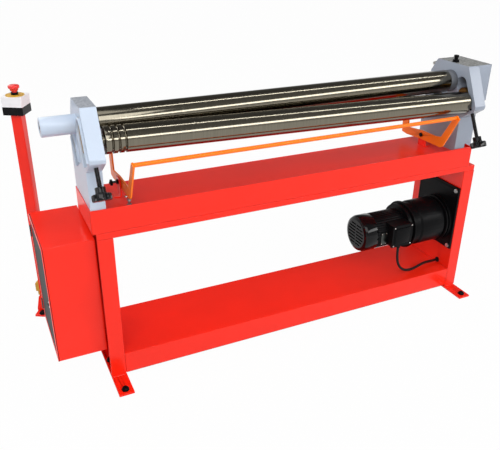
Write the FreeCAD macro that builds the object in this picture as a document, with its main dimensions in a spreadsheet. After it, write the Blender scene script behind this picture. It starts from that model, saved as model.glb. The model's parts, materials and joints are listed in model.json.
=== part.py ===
import FreeCAD, Part
import math
import os
import Sketcher

Vector = FreeCAD.Vector
Rotation = FreeCAD.Rotation
Placement = FreeCAD.Placement
AXIS_X = Vector(1, 0, 0)
AXIS_Y = Vector(0, 1, 0)
AXIS_Z = Vector(0, 0, 1)

# Driving dimensions of the machine, in millimetres and degrees.
# Stations along the machine are measured from the left edge of the left leg,
# depths from the front of the stand (positive to the back), heights from the floor.
SIZES = {
    # where the part's origin stands on the floor
    "origin_station": 684.5,
    "origin_depth": 293.9,
    # stand
    "stand_length": 1560.0,
    "stand_depth": 293.0,
    "stand_height": 580.0,
    "stand_sheet": 3.0,
    "leg_left_width": 53.7,
    "leg_right_width": 50.0,
    "top_apron": 22.5,
    "shelf_height": 96.8,
    "shelf_apron": 83.4,
    "foot_width": 54.3,
    "foot_overhang": 103.0,
    "foot_thickness": 8.0,
    "foot_bolt_radius": 13.0,
    "foot_bolt_height": 10.5,
    "foot_bolt_inset": 22.0,
    "foot_bolt_rear": 180.0,
    "foot_bolt_shift": 10.0,
    "bolt_hole_clearance": 0.5,
    "cover_thickness": 1.5,
    # bed tray on the stand
    "tray_overhang": 10.6,
    "tray_length": 1539.1,
    "tray_depth": 228.0,
    "tray_height": 83.0,
    "tray_rim": 10.0,
    "tray_sheet": 2.5,
    # end frames
    "frame_thickness": 49.0,
    "frame_left_station": -8.0,
    "frame_right_station": 1441.0,
    "frame_rise": 410.0,
    "frame_front": 5.0,
    "frame_back": 225.0,
    "frame_round": 6.0,
    "nose_reach": 68.0,
    "nose_drop": 140.0,
    "nose_lip": 14.0,
    "nose_round": 10.0,
    "throat_drop": 61.0,
    "slot_rim": 10.0,
    "slot_rim_height": 4.0,
    "left_crown": 131.0,
    "right_crown": 172.0,
    "crown_slope": 32.0,
    "shoulder_drop": 50.0,
    "waist_rise": 33.0,
    # gear housing on the right end frame
    "housing_width": 64.0,
    "housing_wall": 3.0,
    "housing_set_back": 38.0,
    "housing_tail": 27.0,
    "housing_cover": 2.0,
    # rolls
    "roll_radius": 42.5,
    "roll_left_end": 53.0,
    "upper_roll_right_end": 1409.0,
    "front_roll_right_end": 1436.0,
    "upper_depth": 85.0,
    "upper_drop": 69.0,
    "journal_radius": 16.0,
    "upper_journal_radius": 22.0,
    "groove_width": 8.0,
    "groove_depth": 4.5,
    "groove_pitch": 20.0,
    "groove_first": 17.0,
    # slanted slots and the two carriages that slide in them; their lines and runs are
    # measured from the front end of the castings' top, so most lie below it
    "slot_tilt": 28.0,
    "slot_width": 54.0,
    "slide_gap": 0.2,
    "front_line": -53.8,
    "front_slot_bottom": -160.1,
    "front_slot_top": -50.1,
    "front_axis": -90.1,
    "rear_line": -197.8,
    "rear_slot_bottom": -132.1,
    "rear_slot_top": -48.1,
    "rear_axis": -62.1,
    "right_drop": 33.0,
    "block_below": 27.0,
    "front_block_above": 36.0,
    "block_relief": 8.0,
    "bush_wall": 4.0,
    "journal_fit": 0.05,
    # adjusting screws
    "screw_radius": 7.5,
    "thread_gap": 0.3,
    "screw_drop": 110.0,
    "knob_radius": 30.0,
    "knob_height": 23.0,
    "knob_hub_radius": 16.0,
    "knob_hub_height": 20.0,
    "knob_scallop": 9.0,
    "rear_screw_left": 62.0,
    "rear_screw_right": 138.0,
    "hex_radius": 13.0,
    "hex_height": 10.0,
    # release sleeve and bearing of the upper roll
    "sleeve_radius": 30.0,
    "sleeve_reach": 105.0,
    "sleeve_travel": 30.0,
    "flange_radius": 41.0,
    "flange_width": 30.0,
    # drive in the right leg
    "drive_depth": 112.0,
    "drive_drop": 272.0,
    "chain_station": 1543.0,
    "chain_width": 12.0,
    "chain_half_height": 5.0,
    "chain_plate": 2.0,
    "chain_web": 1.5,
    "sprocket_upper_radius": 42.6,
    "sprocket_lower_radius": 38.6,
    "sprocket_width": 6.0,
    "sprocket_upper_teeth": 21,
    "sprocket_lower_teeth": 19,
    "plate_thickness": 8.0,
    "plate_below": 112.0,
    "plate_height": 284.0,
    "plate_depth": 242.0,
    "plate_bolt_inset": 14.0,
    "plate_bolt_radius": 6.0,
    "gearbox_radius": 96.0,
    "gearbox_length": 200.0,
    "output_shaft_radius": 14.0,
    # motor
    "motor_radius": 70.0,
    "motor_length": 152.0,
    "motor_flange_radius": 92.0,
    "motor_flange_width": 16.0,
    "cowl_radius": 77.0,
    "cowl_length": 62.0,
    "cowl_wall": 2.5,
    "cowl_lap": 6.0,
    "fan_radius": 64.0,
    "rotor_radius": 5.6,
    "rotor_length": 90.0,
    "fan_hub_radius": 16.0,
    "fan_blade_width": 12.0,
    "terminal_width": 94.0,
    "terminal_height": 92.0,
    "terminal_depth": 52.0,
    "terminal_lid": 10.0,
    "gland_radius": 9.0,
    "cable_radius": 5.4,
    # control cabinet
    "cabinet_width": 166.0,
    "cabinet_depth": 296.0,
    "cabinet_front": 31.0,
    "cabinet_bottom": 111.0,
    "cabinet_top_drop": 31.0,
    "cabinet_sheet": 2.0,
    "door_gap": 1.0,
    "contactor_reach": 70.0,
    "contactor_width": 45.0,
    "contactor_height": 76.0,
    "transformer_size": 80.0,
    "strip_length": 170.0,
    "strip_height": 38.0,
    # emergency-stop pedestal
    "pedestal_station": -132.0,
    "pedestal_depth": 567.0,
    "pedestal_turn": 30.0,
    "post_width": 38.0,
    "post_wall": 2.5,
    "post_top": 840.0,
    "pedestal_foot_front": 74.0,
    "pedestal_foot_back": 150.0,
    "shoe_height": 60.0,
    "shoe_reach": 44.0,
    "estop_width": 75.0,
    "estop_base_height": 30.0,
    "estop_lid_height": 36.0,
    "estop_plate_radius": 33.0,
    "button_radius": 20.0,
    "button_neck_radius": 13.0,
    "button_collar": 15.0,
    "button_head": 20.0,
    # safety trip bar
    "trip_pivot_depth": 118.0,
    "trip_pivot_rise": 47.0,
    "trip_front_reach": 178.0,
    "trip_front_rise": 117.0,
    "trip_rear_reach": 113.0,
    "trip_rear_rise": 98.0,
    "trip_band": 36.0,
    "trip_stop_reach": 100.0,
    "trip_stop_gap": 4.5,
    "trip_left_station": 116.0,
    "trip_right_station": 1360.0,
    "trip_arm_thickness": 6.0,
    "trip_rod_radius": 7.0,
    "trip_pin_radius": 5.0,
    "trip_bracket_thickness": 4.0,
}

doc = FreeCAD.newDocument("SlipRollMachine")
sheet = doc.addObject("Spreadsheet::Sheet", "Sizes")
for row, (alias, amount) in enumerate(SIZES.items(), start=1):
    sheet.set(f"A{row}", alias)
    sheet.set(f"B{row}", str(amount))
    sheet.setAlias(f"B{row}", alias)
doc.recompute()


class Formula:
    """A size as a number together with the spreadsheet expression that gives it."""

    def __init__(self, number, text):
        self.number = number
        self.text = text

    def __add__(self, other):
        other = formula(other)
        return Formula(self.number + other.number, f"({self.text} + {other.text})")

    def __sub__(self, other):
        other = formula(other)
        return Formula(self.number - other.number, f"({self.text} - {other.text})")

    def __mul__(self, other):
        other = formula(other)
        return Formula(self.number * other.number, f"({self.text} * {other.text})")

    def __truediv__(self, other):
        other = formula(other)
        return Formula(self.number / other.number, f"({self.text} / {other.text})")

    def __neg__(self):
        return Formula(-self.number, f"(0 - {self.text})")

    def __radd__(self, other):
        return formula(other) + self

    def __rsub__(self, other):
        return formula(other) - self

    def __rmul__(self, other):
        return formula(other) * self


def formula(thing):
    if isinstance(thing, Formula):
        return thing
    return Formula(float(thing), f"({float(thing)})")


def sine(angle):
    return Formula(math.sin(math.radians(angle.number)), f"sin({angle.text} * 1 deg)")


def cosine(angle):
    return Formula(math.cos(math.radians(angle.number)), f"cos({angle.text} * 1 deg)")


class Sheet:
    """Gives every size of the spreadsheet as a Formula attribute."""

    def __getattr__(self, alias):
        return Formula(float(sheet.get(alias)), f"Sizes.{alias}")


S = Sheet()


# heights that follow from the stand's own
tray_floor = S.stand_height + S.tray_height - S.tray_rim
frame_top = S.stand_height + S.frame_rise
nose_height = frame_top - S.nose_drop
throat_height = nose_height - S.throat_drop
upper_height = frame_top - S.upper_drop
drive_height = S.stand_height - S.drive_drop
plate_bottom = drive_height - S.plate_below
cabinet_height = S.stand_height - S.cabinet_top_drop - S.cabinet_bottom
trip_pivot_height = tray_floor + S.trip_pivot_rise


def bind(thing, path, amount):
    """Bind one property of an object to a size, or set it to a plain number."""
    thing.setExpression(path, formula(amount).text)


def place(thing, at, turn=None):
    numbers = [formula(part).number for part in at]
    thing.Placement = Placement(Vector(*numbers), turn or Rotation())
    for axis, part in zip("xyz", at):
        if isinstance(part, Formula):
            bind(thing, f"Placement.Base.{axis}", part)
    return thing


NODES = []


def node(thing, label, at=(0, 0, 0), turn=None):
    """Name a finished sub-part and put it at its station, depth and height."""
    station, depth, height = at
    place(thing, (station - S.origin_station, depth - S.origin_depth, height), turn)
    thing.Label = label
    NODES.append(thing)
    return thing


# ---------------------------------------------------------------- primitives

def box(name, length, width, height, at=(0, 0, 0), turn=None):
    solid = doc.addObject("Part::Box", name)
    bind(solid, "Length", length)
    bind(solid, "Width", width)
    bind(solid, "Height", height)
    return place(solid, at, turn)


TURNS = {
    "x": Rotation(AXIS_Y, 90),
    "y": Rotation(AXIS_X, -90),
    "z": Rotation(),
}


def rod(name, radius, length, at=(0, 0, 0), along="z", turn=None):
    solid = doc.addObject("Part::Cylinder", name)
    bind(solid, "Radius", radius)
    bind(solid, "Height", length)
    return place(solid, at, turn or TURNS[along])


def fuse(name, *pieces):
    joined = doc.addObject("Part::MultiFuse", name)
    joined.Shapes = list(pieces)
    return joined


def group(name, *pieces):
    together = doc.addObject("Part::Compound", name)
    together.Links = list(pieces)
    return together


def cut(name, base, *tools):
    tool = tools[0]
    if len(tools) > 1:
        tool = fuse(name + "Tools", *tools)
    result = doc.addObject("Part::Cut", name)
    result.Base = base
    result.Tool = tool
    return result


# ---------------------------------------------------------------- bodies

def new_body(name):
    return doc.addObject("PartDesign::Body", name)


def new_sketch(body, role, name, offset=None):
    drawing = body.newObject("Sketcher::SketchObject", name)
    plane = next(item for item in body.Origin.OriginFeatures if item.Role == role)
    drawing.AttachmentSupport = [(plane, "")]
    drawing.MapMode = "FlatFace"
    if offset is not None:
        drawing.AttachmentOffset = Placement(Vector(0, 0, formula(offset).number), Rotation())
        bind(drawing, "AttachmentOffset.Base.z", offset)
    return drawing


def pin(drawing, item, point, across, up):
    """Hold a sketch point at two distances from the sketch's origin."""
    for kind, axis, distance in (("DistanceX", -2, across), ("DistanceY", -1, up)):
        amount = formula(distance)
        if abs(amount.number) < 1e-9:
            drawing.addConstraint(Sketcher.Constraint("PointOnObject", item, point, axis))
            continue
        index = drawing.addConstraint(Sketcher.Constraint(kind, -1, 1, item, point, amount.number))
        drawing.setExpression(f"Constraints[{index}]", amount.text)


def polygon(drawing, corners):
    first = drawing.GeometryCount
    points = [Vector(formula(a).number, formula(b).number, 0) for a, b in corners]
    count = len(points)
    for index in range(count):
        drawing.addGeometry(Part.LineSegment(points[index], points[(index + 1) % count]), False)
    for index in range(count):
        following = first + (index + 1) % count
        drawing.addConstraint(Sketcher.Constraint("Coincident", first + index, 2, following, 1))
    for index, (across, up) in enumerate(corners):
        pin(drawing, first + index, 1, across, up)
    return drawing


def circle(drawing, across, up, radius):
    centre = Vector(formula(across).number, formula(up).number, 0)
    item = drawing.addGeometry(Part.Circle(centre, AXIS_Z, formula(radius).number), False)
    index = drawing.addConstraint(Sketcher.Constraint("Radius", item, formula(radius).number))
    drawing.setExpression(f"Constraints[{index}]", formula(radius).text)
    pin(drawing, item, 3, across, up)
    return drawing


def pad(body, drawing, length, name):
    feature = body.newObject("PartDesign::Pad", name)
    feature.Profile = drawing
    bind(feature, "Length", length)
    return feature


def pocket(body, drawing, length, name, forward=True):
    """Cut along the sketch's normal (forward) or against it."""
    feature = body.newObject("PartDesign::Pocket", name)
    feature.Profile = drawing
    feature.Reversed = forward
    bind(feature, "Length", length)
    return feature


def revolve(body, drawing, name, axis="H_Axis"):
    feature = body.newObject("PartDesign::Revolution", name)
    feature.Profile = drawing
    feature.ReferenceAxis = (drawing, [axis])
    feature.Angle = 360
    return feature


def polar(body, feature, name, axis_role, count):
    pattern = body.newObject("PartDesign::PolarPattern", name)
    pattern.Originals = [feature]
    axis = next(item for item in body.Origin.OriginFeatures if item.Role == axis_role)
    pattern.Axis = (axis, [""])
    pattern.Angle = 360
    pattern.Occurrences = count
    body.Tip = pattern
    return pattern


def round_edges(body, radius, points, name):
    """Round the edges whose middles lie nearest to the given points."""
    doc.recompute()
    base = body.Tip
    names = []
    for point in points:
        target = Vector(*[formula(part).number for part in point])
        spans = []
        for index, edge in enumerate(base.Shape.Edges, start=1):
            spans.append((edge.CenterOfMass.distanceToPoint(target), index))
        names.append(f"Edge{min(spans)[1]}")
    feature = body.newObject("PartDesign::Fillet", name)
    feature.Base = (base, names)
    bind(feature, "Radius", radius)
    return feature


# ---------------------------------------------------------------- slanted slots

TILT = Rotation(AXIS_X, -S.slot_tilt.number)


def on_slant(line, along):
    """Depth and height of a point on a slanted line, from the line's offset and its run."""
    depth = sine(S.slot_tilt) * along - cosine(S.slot_tilt) * line
    height = cosine(S.slot_tilt) * along + sine(S.slot_tilt) * line + frame_top
    return depth, height


def off_slant(line, along, across):
    """The same, moved square to the slant (positive to the back)."""
    depth, height = on_slant(line, along)
    return depth + cosine(S.slot_tilt) * across, height - sine(S.slot_tilt) * across


roll_span = S.frame_right_station - S.frame_left_station
skew_angle = math.degrees(math.asin(S.right_drop.number / roll_span.number))
SKEW = TILT.multiply(Rotation(AXIS_Y, skew_angle))
half_frame = S.frame_thickness / 2
left_middle = S.frame_left_station + half_frame
right_middle = S.frame_right_station + half_frame


# ---------------------------------------------------------------- stand

def stand_leg(label, station, width, web_first):
    """Sheet channel with its web towards the middle of the stand."""
    body = new_body(label.title().replace("_", ""))
    depth = S.stand_depth
    wall = S.stand_sheet
    outline = [(0, 0), (width, 0), (width, wall), (wall, wall),
               (wall, depth - wall), (width, depth - wall), (width, depth), (0, depth)]
    if not web_first:
        outline = [(width - across, up) for across, up in outline]
    section = polygon(new_sketch(body, "XY_Plane", "Section" + body.Name), outline)
    height = S.stand_height - S.top_apron - S.foot_thickness
    pad(body, section, height, "Web" + body.Name)
    if web_first:
        opening = new_sketch(body, "YZ_Plane", "Opening" + body.Name)
        circle(opening, S.drive_depth, drive_height - S.foot_thickness, S.output_shaft_radius * 2)
        circle(opening, GROMMET[1], GROMMET[2] - S.foot_thickness, S.cable_radius + 3)
        pocket(body, opening, wall * 2, "WebOpenings" + body.Name)
    return node(body, label, (station, 0, S.foot_thickness))


def folded_top(label, station, height_at, length, apron):
    """Plate with an apron folded down along its front and back."""
    body = new_body(label.title().replace("_", ""))
    depth = S.stand_depth
    wall = S.stand_sheet
    outline = [(0, 0), (0, apron), (depth, apron), (depth, 0),
               (depth - wall, 0), (depth - wall, apron - wall), (wall, apron - wall), (wall, 0)]
    section = polygon(new_sketch(body, "YZ_Plane", "Section" + body.Name), outline)
    pad(body, section, length, "Fold" + body.Name)
    return body, (station, 0, height_at - apron)


def stand():
    stand_leg("stand_leg_left", 0, S.leg_left_width, False)
    stand_leg("stand_leg_right", S.stand_length - S.leg_right_width, S.leg_right_width, True)
    top, at = folded_top("stand_top", 0, S.stand_height, S.stand_length, S.top_apron)
    opening = new_sketch(top, "XY_Plane", "ChainOpening", S.top_apron + 1)
    left = S.chain_station - S.chain_width
    right = S.chain_station + S.chain_width / 2 + 4
    front = S.drive_depth - S.sprocket_upper_radius - 16
    back = S.drive_depth + S.sprocket_upper_radius
    polygon(opening, [(left, front), (right, front), (right, back), (left, back)])
    pocket(top, opening, S.stand_sheet + 2, "ChainSlot", False)
    node(top, "stand_top", at)
    shelf_length = S.stand_length - S.leg_left_width - S.leg_right_width
    shelf, at = folded_top("stand_shelf", S.leg_left_width, S.shelf_height, shelf_length, S.shelf_apron)
    node(shelf, "stand_shelf", at)


# ---------------------------------------------------------------- feet

def foot_plate(name, station):
    length = S.stand_depth + S.foot_overhang * 2
    plate = box(name, S.foot_width, length, S.foot_thickness, (station, -S.foot_overhang, 0))
    return plate


def dome_bolt(name, station, depth):
    """Black anchor bolt: a domed head over a washer disc."""
    washer = rod(name + "Washer", S.foot_bolt_radius, 2, (station, depth, S.foot_thickness))
    ball = doc.addObject("Part::Sphere", name + "Ball")
    bind(ball, "Radius", S.foot_bolt_radius)
    place(ball, (station, depth, S.foot_thickness + 1))
    keep = rod(name + "Keep", S.foot_bolt_radius - 1, S.foot_bolt_height,
               (station, depth, S.foot_thickness))
    head = doc.addObject("Part::Common", name + "Head")
    head.Base = ball
    head.Tool = keep
    shank = rod(name + "Shank", S.foot_bolt_radius / 2, S.foot_thickness + 1, (station, depth, 0))
    return fuse(name, washer, head, shank)


def bolt_hole(name, station, depth):
    radius = S.foot_bolt_radius / 2 + S.bolt_hole_clearance
    return rod(name, radius, S.foot_thickness + 2, (station, depth, -1))


def feet():
    left = (S.leg_left_width - S.foot_width) / 2 + 1
    right = S.stand_length - S.leg_right_width - 6
    front = S.foot_bolt_inset - S.foot_overhang
    back = S.stand_depth - front
    spots = []
    for start, side in ((left, 1), (right, -1)):
        middle = start + S.foot_width / 2
        spots.append((middle, front))
        spots.append((middle - S.foot_bolt_shift * side, front + S.foot_bolt_rear))
        spots.append((middle, back))
    holes = [bolt_hole(f"FootHole{index}", *spot) for index, spot in enumerate(spots)]
    first = cut("FootLeft", foot_plate("FootPlateLeft", left), *holes[:3])
    second = cut("FootRight", foot_plate("FootPlateRight", right), *holes[3:])
    node(group("StandFeet", first, second), "stand_feet")
    bolts = [dome_bolt(f"FootBolt{index}", *spot) for index, spot in enumerate(spots)]
    node(group("FootBolts", *bolts), "foot_bolts")


# ---------------------------------------------------------------- bed tray

def bed_tray():
    body = new_body("BedTray")
    depth = S.tray_depth
    height = S.tray_height
    wall = S.tray_sheet
    floor = height - S.tray_rim
    outline = [(0, 0), (wall, 0), (wall, floor - wall), (depth - wall, floor - wall),
               (depth - wall, 0), (depth, 0), (depth, floor), (wall, floor), (wall, height),
               (0, height)]
    section = polygon(new_sketch(body, "YZ_Plane", "TraySection"), outline)
    pad(body, section, S.tray_length, "TrayFold")
    for name, offset in (("TrayEndLeft", None), ("TrayEndRight", S.tray_length - wall)):
        end = new_sketch(body, "YZ_Plane", name + "Outline", offset)
        polygon(end, [(0, 0), (depth, 0), (depth, height), (0, height)])
        pad(body, end, wall, name)
    node(body, "bed_tray", (-S.tray_overhang, 0, S.stand_height))


# ---------------------------------------------------------------- end frames

def frame_outline(crown):
    """Side view of an end frame above the tray floor; crown is the depth of its flat top."""
    foot = tray_floor
    shoulder = frame_top - S.shoulder_drop
    waist = throat_height + S.waist_rise
    return [(S.frame_front, foot), (S.frame_front, throat_height),
            (-S.nose_reach + 4, nose_height - S.nose_lip), (-S.nose_reach, nose_height),
            (0.5, frame_top), (crown, frame_top), (crown + S.crown_slope, shoulder),
            (S.frame_back - 4, waist), (S.frame_back, throat_height - 9), (S.frame_back, foot)]


def slot_corners(line, bottom, top, half):
    return [off_slant(line, bottom, -half), off_slant(line, bottom, half),
            off_slant(line, top, half), off_slant(line, top, -half)]


def end_frame(label, station, crown, bore, rim):
    """Casting with two slanted slots; rim is the height of the lips round them, outside."""
    body = new_body(label.title().replace("_", "") + "Casting")
    outline = frame_outline(crown)
    section = polygon(new_sketch(body, "YZ_Plane", "Side" + body.Name), outline)
    pad(body, section, S.frame_thickness, "Slab" + body.Name)
    corners = [(half_frame, depth, height) for depth, height in outline]
    round_edges(body, S.nose_round, [corners[2], corners[3]], "Nose" + body.Name)
    round_edges(body, S.frame_round, [corners[4], corners[5], corners[6], corners[7]],
                "Crown" + body.Name)
    cuts = (("Front", S.front_line, S.front_slot_bottom, S.front_slot_top),
            ("Rear", S.rear_line, S.rear_slot_bottom, S.rear_slot_top))
    half = S.slot_width / 2
    deep = S.frame_thickness + rim
    if rim.number > 0:
        for side, line, bottom, top in cuts:
            sides = new_sketch(body, "YZ_Plane", f"{side}Lip{body.Name}", -rim)
            polygon(sides, slot_corners(line, bottom, top, half + S.slot_rim))
            pad(body, sides, rim + 1, f"{side}LipSides{body.Name}")
            arch = new_sketch(body, "YZ_Plane", f"{side}LipArch{body.Name}", -rim)
            circle(arch, *on_slant(line, top), half + S.slot_rim)
            pad(body, arch, rim + 1, f"{side}LipCrown{body.Name}")
    for side, line, bottom, top in cuts:
        slot = new_sketch(body, "YZ_Plane", f"{side}Slot{body.Name}", -rim)
        polygon(slot, slot_corners(line, bottom, top, half))
        pocket(body, slot, deep, f"{side}Slide{body.Name}")
        arch = new_sketch(body, "YZ_Plane", f"{side}Arch{body.Name}", -rim)
        circle(arch, *on_slant(line, top), half)
        pocket(body, arch, deep, f"{side}Crown{body.Name}")
    hole = new_sketch(body, "YZ_Plane", "Bore" + body.Name, -rim)
    circle(hole, S.upper_depth, upper_height, bore)
    pocket(body, hole, deep, "UpperBore" + body.Name)
    thread = S.screw_radius + S.thread_gap
    depth, height = on_slant(S.front_line, S.front_slot_bottom - 60)
    front_bore = rod(label + "_front_bore", thread, 90, (half_frame, depth, height), turn=TILT)
    depth, height = on_slant(S.rear_line, S.rear_slot_top)
    rear_bore = rod(label + "_rear_bore", thread, 130, (half_frame, depth, height), turn=TILT)
    return cut(label + "_bored", body, front_bore, rear_bore)


def end_frames():
    left = end_frame("end_frame_left", S.frame_left_station, S.left_crown,
                     S.sleeve_radius + S.journal_fit, S.slot_rim_height)
    node(left, "end_frame_left", (S.frame_left_station, 0, 0))
    right = end_frame("end_frame_right", S.frame_right_station, S.right_crown,
                      S.upper_journal_radius + S.bush_wall, formula(0))
    lock = rod("LockBore", S.screw_radius, 40, (16, 90, frame_top - 38))
    node(cut("end_frame_right_tapped", right, lock), "end_frame_right", (S.frame_right_station, 0, 0))
    bolt = fuse("LockBolt", rod("LockShank", S.screw_radius - S.thread_gap, 48, (0, 0, -30)),
                hexagon("LockHead", 10, 8, (0, 0, 18)))
    nut = cut("LockNut", hexagon("LockNutBlank", 13, 9, (0, 0, 0)), rod("LockNutBore", S.screw_radius, 9))
    at = (S.frame_right_station + 16, 90, frame_top)
    node(group("LockScrew", bolt, nut), "lock_screw", at)


def hexagon(name, radius, height, at, turn=None):
    prism = doc.addObject("Part::Prism", name)
    prism.Polygon = 6
    bind(prism, "Circumradius", radius)
    bind(prism, "Height", height)
    return place(prism, at, turn)


# ---------------------------------------------------------------- gear housing

def housing_outline(inset, foot):
    """Side view of the housing, shrunk all round by the inset."""
    front = 0.5 + inset
    low_front = S.housing_set_back + inset
    step = nose_height + inset
    top = frame_top - inset
    back = S.frame_back - inset
    return [(low_front, foot), (low_front, step - 12), (front, step), (front, top),
            (S.right_crown - inset, top),
            (S.right_crown + S.crown_slope - inset, frame_top - S.shoulder_drop - inset),
            (back, throat_height + S.waist_rise), (back, foot)]


def gear_housing():
    body = new_body("GearHousing")
    rim = S.stand_height + S.tray_height
    tail_start = S.housing_width - S.housing_tail + S.housing_cover
    section = polygon(new_sketch(body, "YZ_Plane", "HousingSide"), housing_outline(0, rim))
    pad(body, section, S.housing_width, "HousingBlock")
    tail = new_sketch(body, "YZ_Plane", "HousingTailSide", tail_start)
    low_front = S.housing_set_back
    polygon(tail, [(low_front, S.stand_height), (low_front, rim + 5), (S.frame_back, rim + 5),
                   (S.frame_back, S.stand_height)])
    pad(body, tail, S.housing_width - tail_start, "HousingTail")
    cavity = new_sketch(body, "YZ_Plane", "HousingCavity", tail_start + S.housing_wall - 1)
    polygon(cavity, housing_outline(S.housing_wall, S.stand_height - 5))
    pocket(body, cavity, S.housing_width, "ChainCavity")
    bore = new_sketch(body, "YZ_Plane", "HousingBore")
    circle(bore, S.upper_depth, upper_height, S.upper_journal_radius + 3)
    pocket(body, bore, S.housing_width, "JournalBore")
    start = S.frame_right_station + S.frame_thickness
    node(body, "gear_housing", (start, 0, 0))
    cover = new_body("HousingCover")
    plate = polygon(new_sketch(cover, "YZ_Plane", "CoverSide"), housing_outline(0, S.stand_height))
    pad(cover, plate, S.housing_cover, "CoverPlate")
    node(cover, "gear_housing_cover", (start + S.housing_width, 0, 0))


# ---------------------------------------------------------------- rolls

def turned(name, steps):
    """Solid of revolution about X from (station, radius) steps, first and last on the axis."""
    body = new_body(name)
    section = new_sketch(body, "XZ_Plane", "Steps" + name)
    polygon(section, [(steps[0][0], 0)] + steps + [(steps[-1][0], 0)])
    revolve(body, section, "Turn" + name)
    return body


def lower_roll(label, line, axis, grooved):
    """Roll of a carriage; its local origin is the middle of the left block."""
    start = S.roll_left_end - left_middle
    end = S.front_roll_right_end - left_middle
    journal = S.journal_radius
    radius = S.roll_radius
    steps = [(-half_frame + 2, journal), (start, journal), (start, radius - 2),
             (start + 2, radius)]
    if grooved:
        for turn in range(3):
            first = start + S.groove_first + S.groove_pitch * turn
            steps += [(first, radius), (first + 2, radius - S.groove_depth),
                      (first + S.groove_width - 2, radius - S.groove_depth),
                      (first + S.groove_width, radius)]
    steps += [(end - 2, radius), (end, radius - 2), (end, journal),
              (roll_span + half_frame - 2, journal)]
    body = turned(label.title().replace("_", ""), steps)
    depth, height = on_slant(line, axis)
    node(body, label, (left_middle, depth, height), SKEW)


def upper_roll():
    radius = S.roll_radius
    journal = S.upper_journal_radius
    start = S.roll_left_end
    end = S.upper_roll_right_end
    housing_end = S.frame_right_station + S.frame_thickness + S.housing_width
    steps = [(12, journal - 3), (15, journal), (start, journal), (start, radius - 2),
             (start + 2, radius), (end - 2, radius), (end, radius - 2), (end, journal + 6),
             (S.frame_right_station - S.flange_width - 0.5, journal + 6),
             (S.frame_right_station - S.flange_width - 0.5, journal), (housing_end - 2, journal)]
    body = turned("RollUpper", steps)
    node(body, "roll_upper", (0, S.upper_depth, upper_height))
    flange = cut("BearingFlangeRing",
                 fuse("FlangeBody", rod("FlangeDisc", S.flange_radius, S.flange_width, along="x"),
                      rod("FlangeSpigot", S.upper_journal_radius + S.bush_wall - S.journal_fit,
                          S.flange_width + S.frame_thickness, along="x")),
                 rod("FlangeBore", S.upper_journal_radius + S.journal_fit,
                     S.flange_width + S.frame_thickness + 2, (-1, 0, 0), "x"))
    node(flange, "upper_bearing", (S.frame_right_station - S.flange_width, S.upper_depth, upper_height))
    length = S.sleeve_reach + S.frame_thickness
    socket = S.sleeve_travel + 3
    tube = cut("ReleaseSleeveTube", rod("SleeveOuter", S.sleeve_radius, length, along="x"),
               rod("SleeveBore", S.upper_journal_radius + S.journal_fit, socket + 1, (length - socket, 0, 0), "x"),
               rod("SleeveMouth", S.sleeve_radius - 6, 8, (-1, 0, 0), "x"))
    node(tube, "release_sleeve", (S.frame_left_station - S.sleeve_reach, S.upper_depth, upper_height))


# ---------------------------------------------------------------- carriages

def bearing_block(name, above, station, drop, skew_turn):
    """Sliding block with a rounded top, its origin on the roll's axis."""
    width = S.slot_width - S.slide_gap * 2
    half = width / 2
    thick = S.frame_thickness
    low = box(name + "Low", thick, width, S.block_below, (-half_frame, -half, -S.block_below))
    neck = box(name + "Neck", thick, width - S.block_relief, above,
               (-half_frame, S.block_relief - half, 0))
    crown = rod(name + "Crown", half - S.block_relief / 2, thick,
                (-half_frame, S.block_relief / 2, above), "x")
    round_part = rod(name + "Round", half, thick, (-half_frame, 0, 0), "x")
    solid = fuse(name + "Solid", low, neck, crown, round_part)
    bore = rod(name + "Bore", S.journal_radius + S.bush_wall, thick + 8, turn=skew_turn)
    bore.Placement.Base = skew_turn.multVec(Vector(0, 0, -(thick.number / 2 + 4)))
    return place(cut(name, solid, bore), (station, 0, -drop))


def bush(name, station, drop, skew_turn):
    thick = S.frame_thickness - 2
    outer = rod(name + "Outer", S.journal_radius + S.bush_wall, thick)
    inner = rod(name + "Inner", S.journal_radius + S.journal_fit, thick)
    ring = cut(name, outer, inner)
    turned_back = skew_turn.multVec(Vector(0, 0, -thick.number / 2))
    centre = (station + turned_back.x, turned_back.y, turned_back.z - drop)
    return place(ring, centre, skew_turn)


def carriage(side, line, axis, above):
    """Both blocks and bushes of one roll, in the tilted frame of its slots."""
    skew_turn = Rotation(AXIS_Y, skew_angle).multiply(TURNS["x"])
    depth, height = on_slant(line, axis)
    drop = S.right_drop
    blocks = group(f"{side}Blocks", bearing_block(f"{side}BlockLeft", above, 0, formula(0), skew_turn),
                   bearing_block(f"{side}BlockRight", above, roll_span, drop, skew_turn))
    node(blocks, f"blocks_{side.lower()}", (left_middle, depth, height), TILT)
    bushes = group(f"{side}Bushes", bush(f"{side}BushLeft", formula(0), formula(0), skew_turn),
                   bush(f"{side}BushRight", roll_span, drop, skew_turn))
    node(bushes, f"bushes_{side.lower()}", (left_middle, depth, height), TILT)


# ---------------------------------------------------------------- adjusting screws

def star_knob(name):
    """Star knob with its hub on top; the local origin is the middle of its underside."""
    body = new_body(name)
    section = new_sketch(body, "XZ_Plane", "Section" + name)
    height = S.knob_height
    polygon(section, [(0, 0), (S.knob_radius - 3, 0), (S.knob_radius, 4),
                      (S.knob_radius, height - 4), (S.knob_radius - 3, height),
                      (S.knob_hub_radius + 3, height), (S.knob_hub_radius, height + 3),
                      (S.knob_hub_radius, height + S.knob_hub_height), (0, height + S.knob_hub_height)])
    revolve(body, section, "Turn" + name, "V_Axis")
    notch = new_sketch(body, "XY_Plane", "Notch" + name)
    circle(notch, S.knob_radius + 2, 0, S.knob_scallop)
    scallop = pocket(body, notch, height, "Scallop" + name)
    polar(body, scallop, "Lobes" + name, "Z_Axis", 7)
    return body


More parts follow.
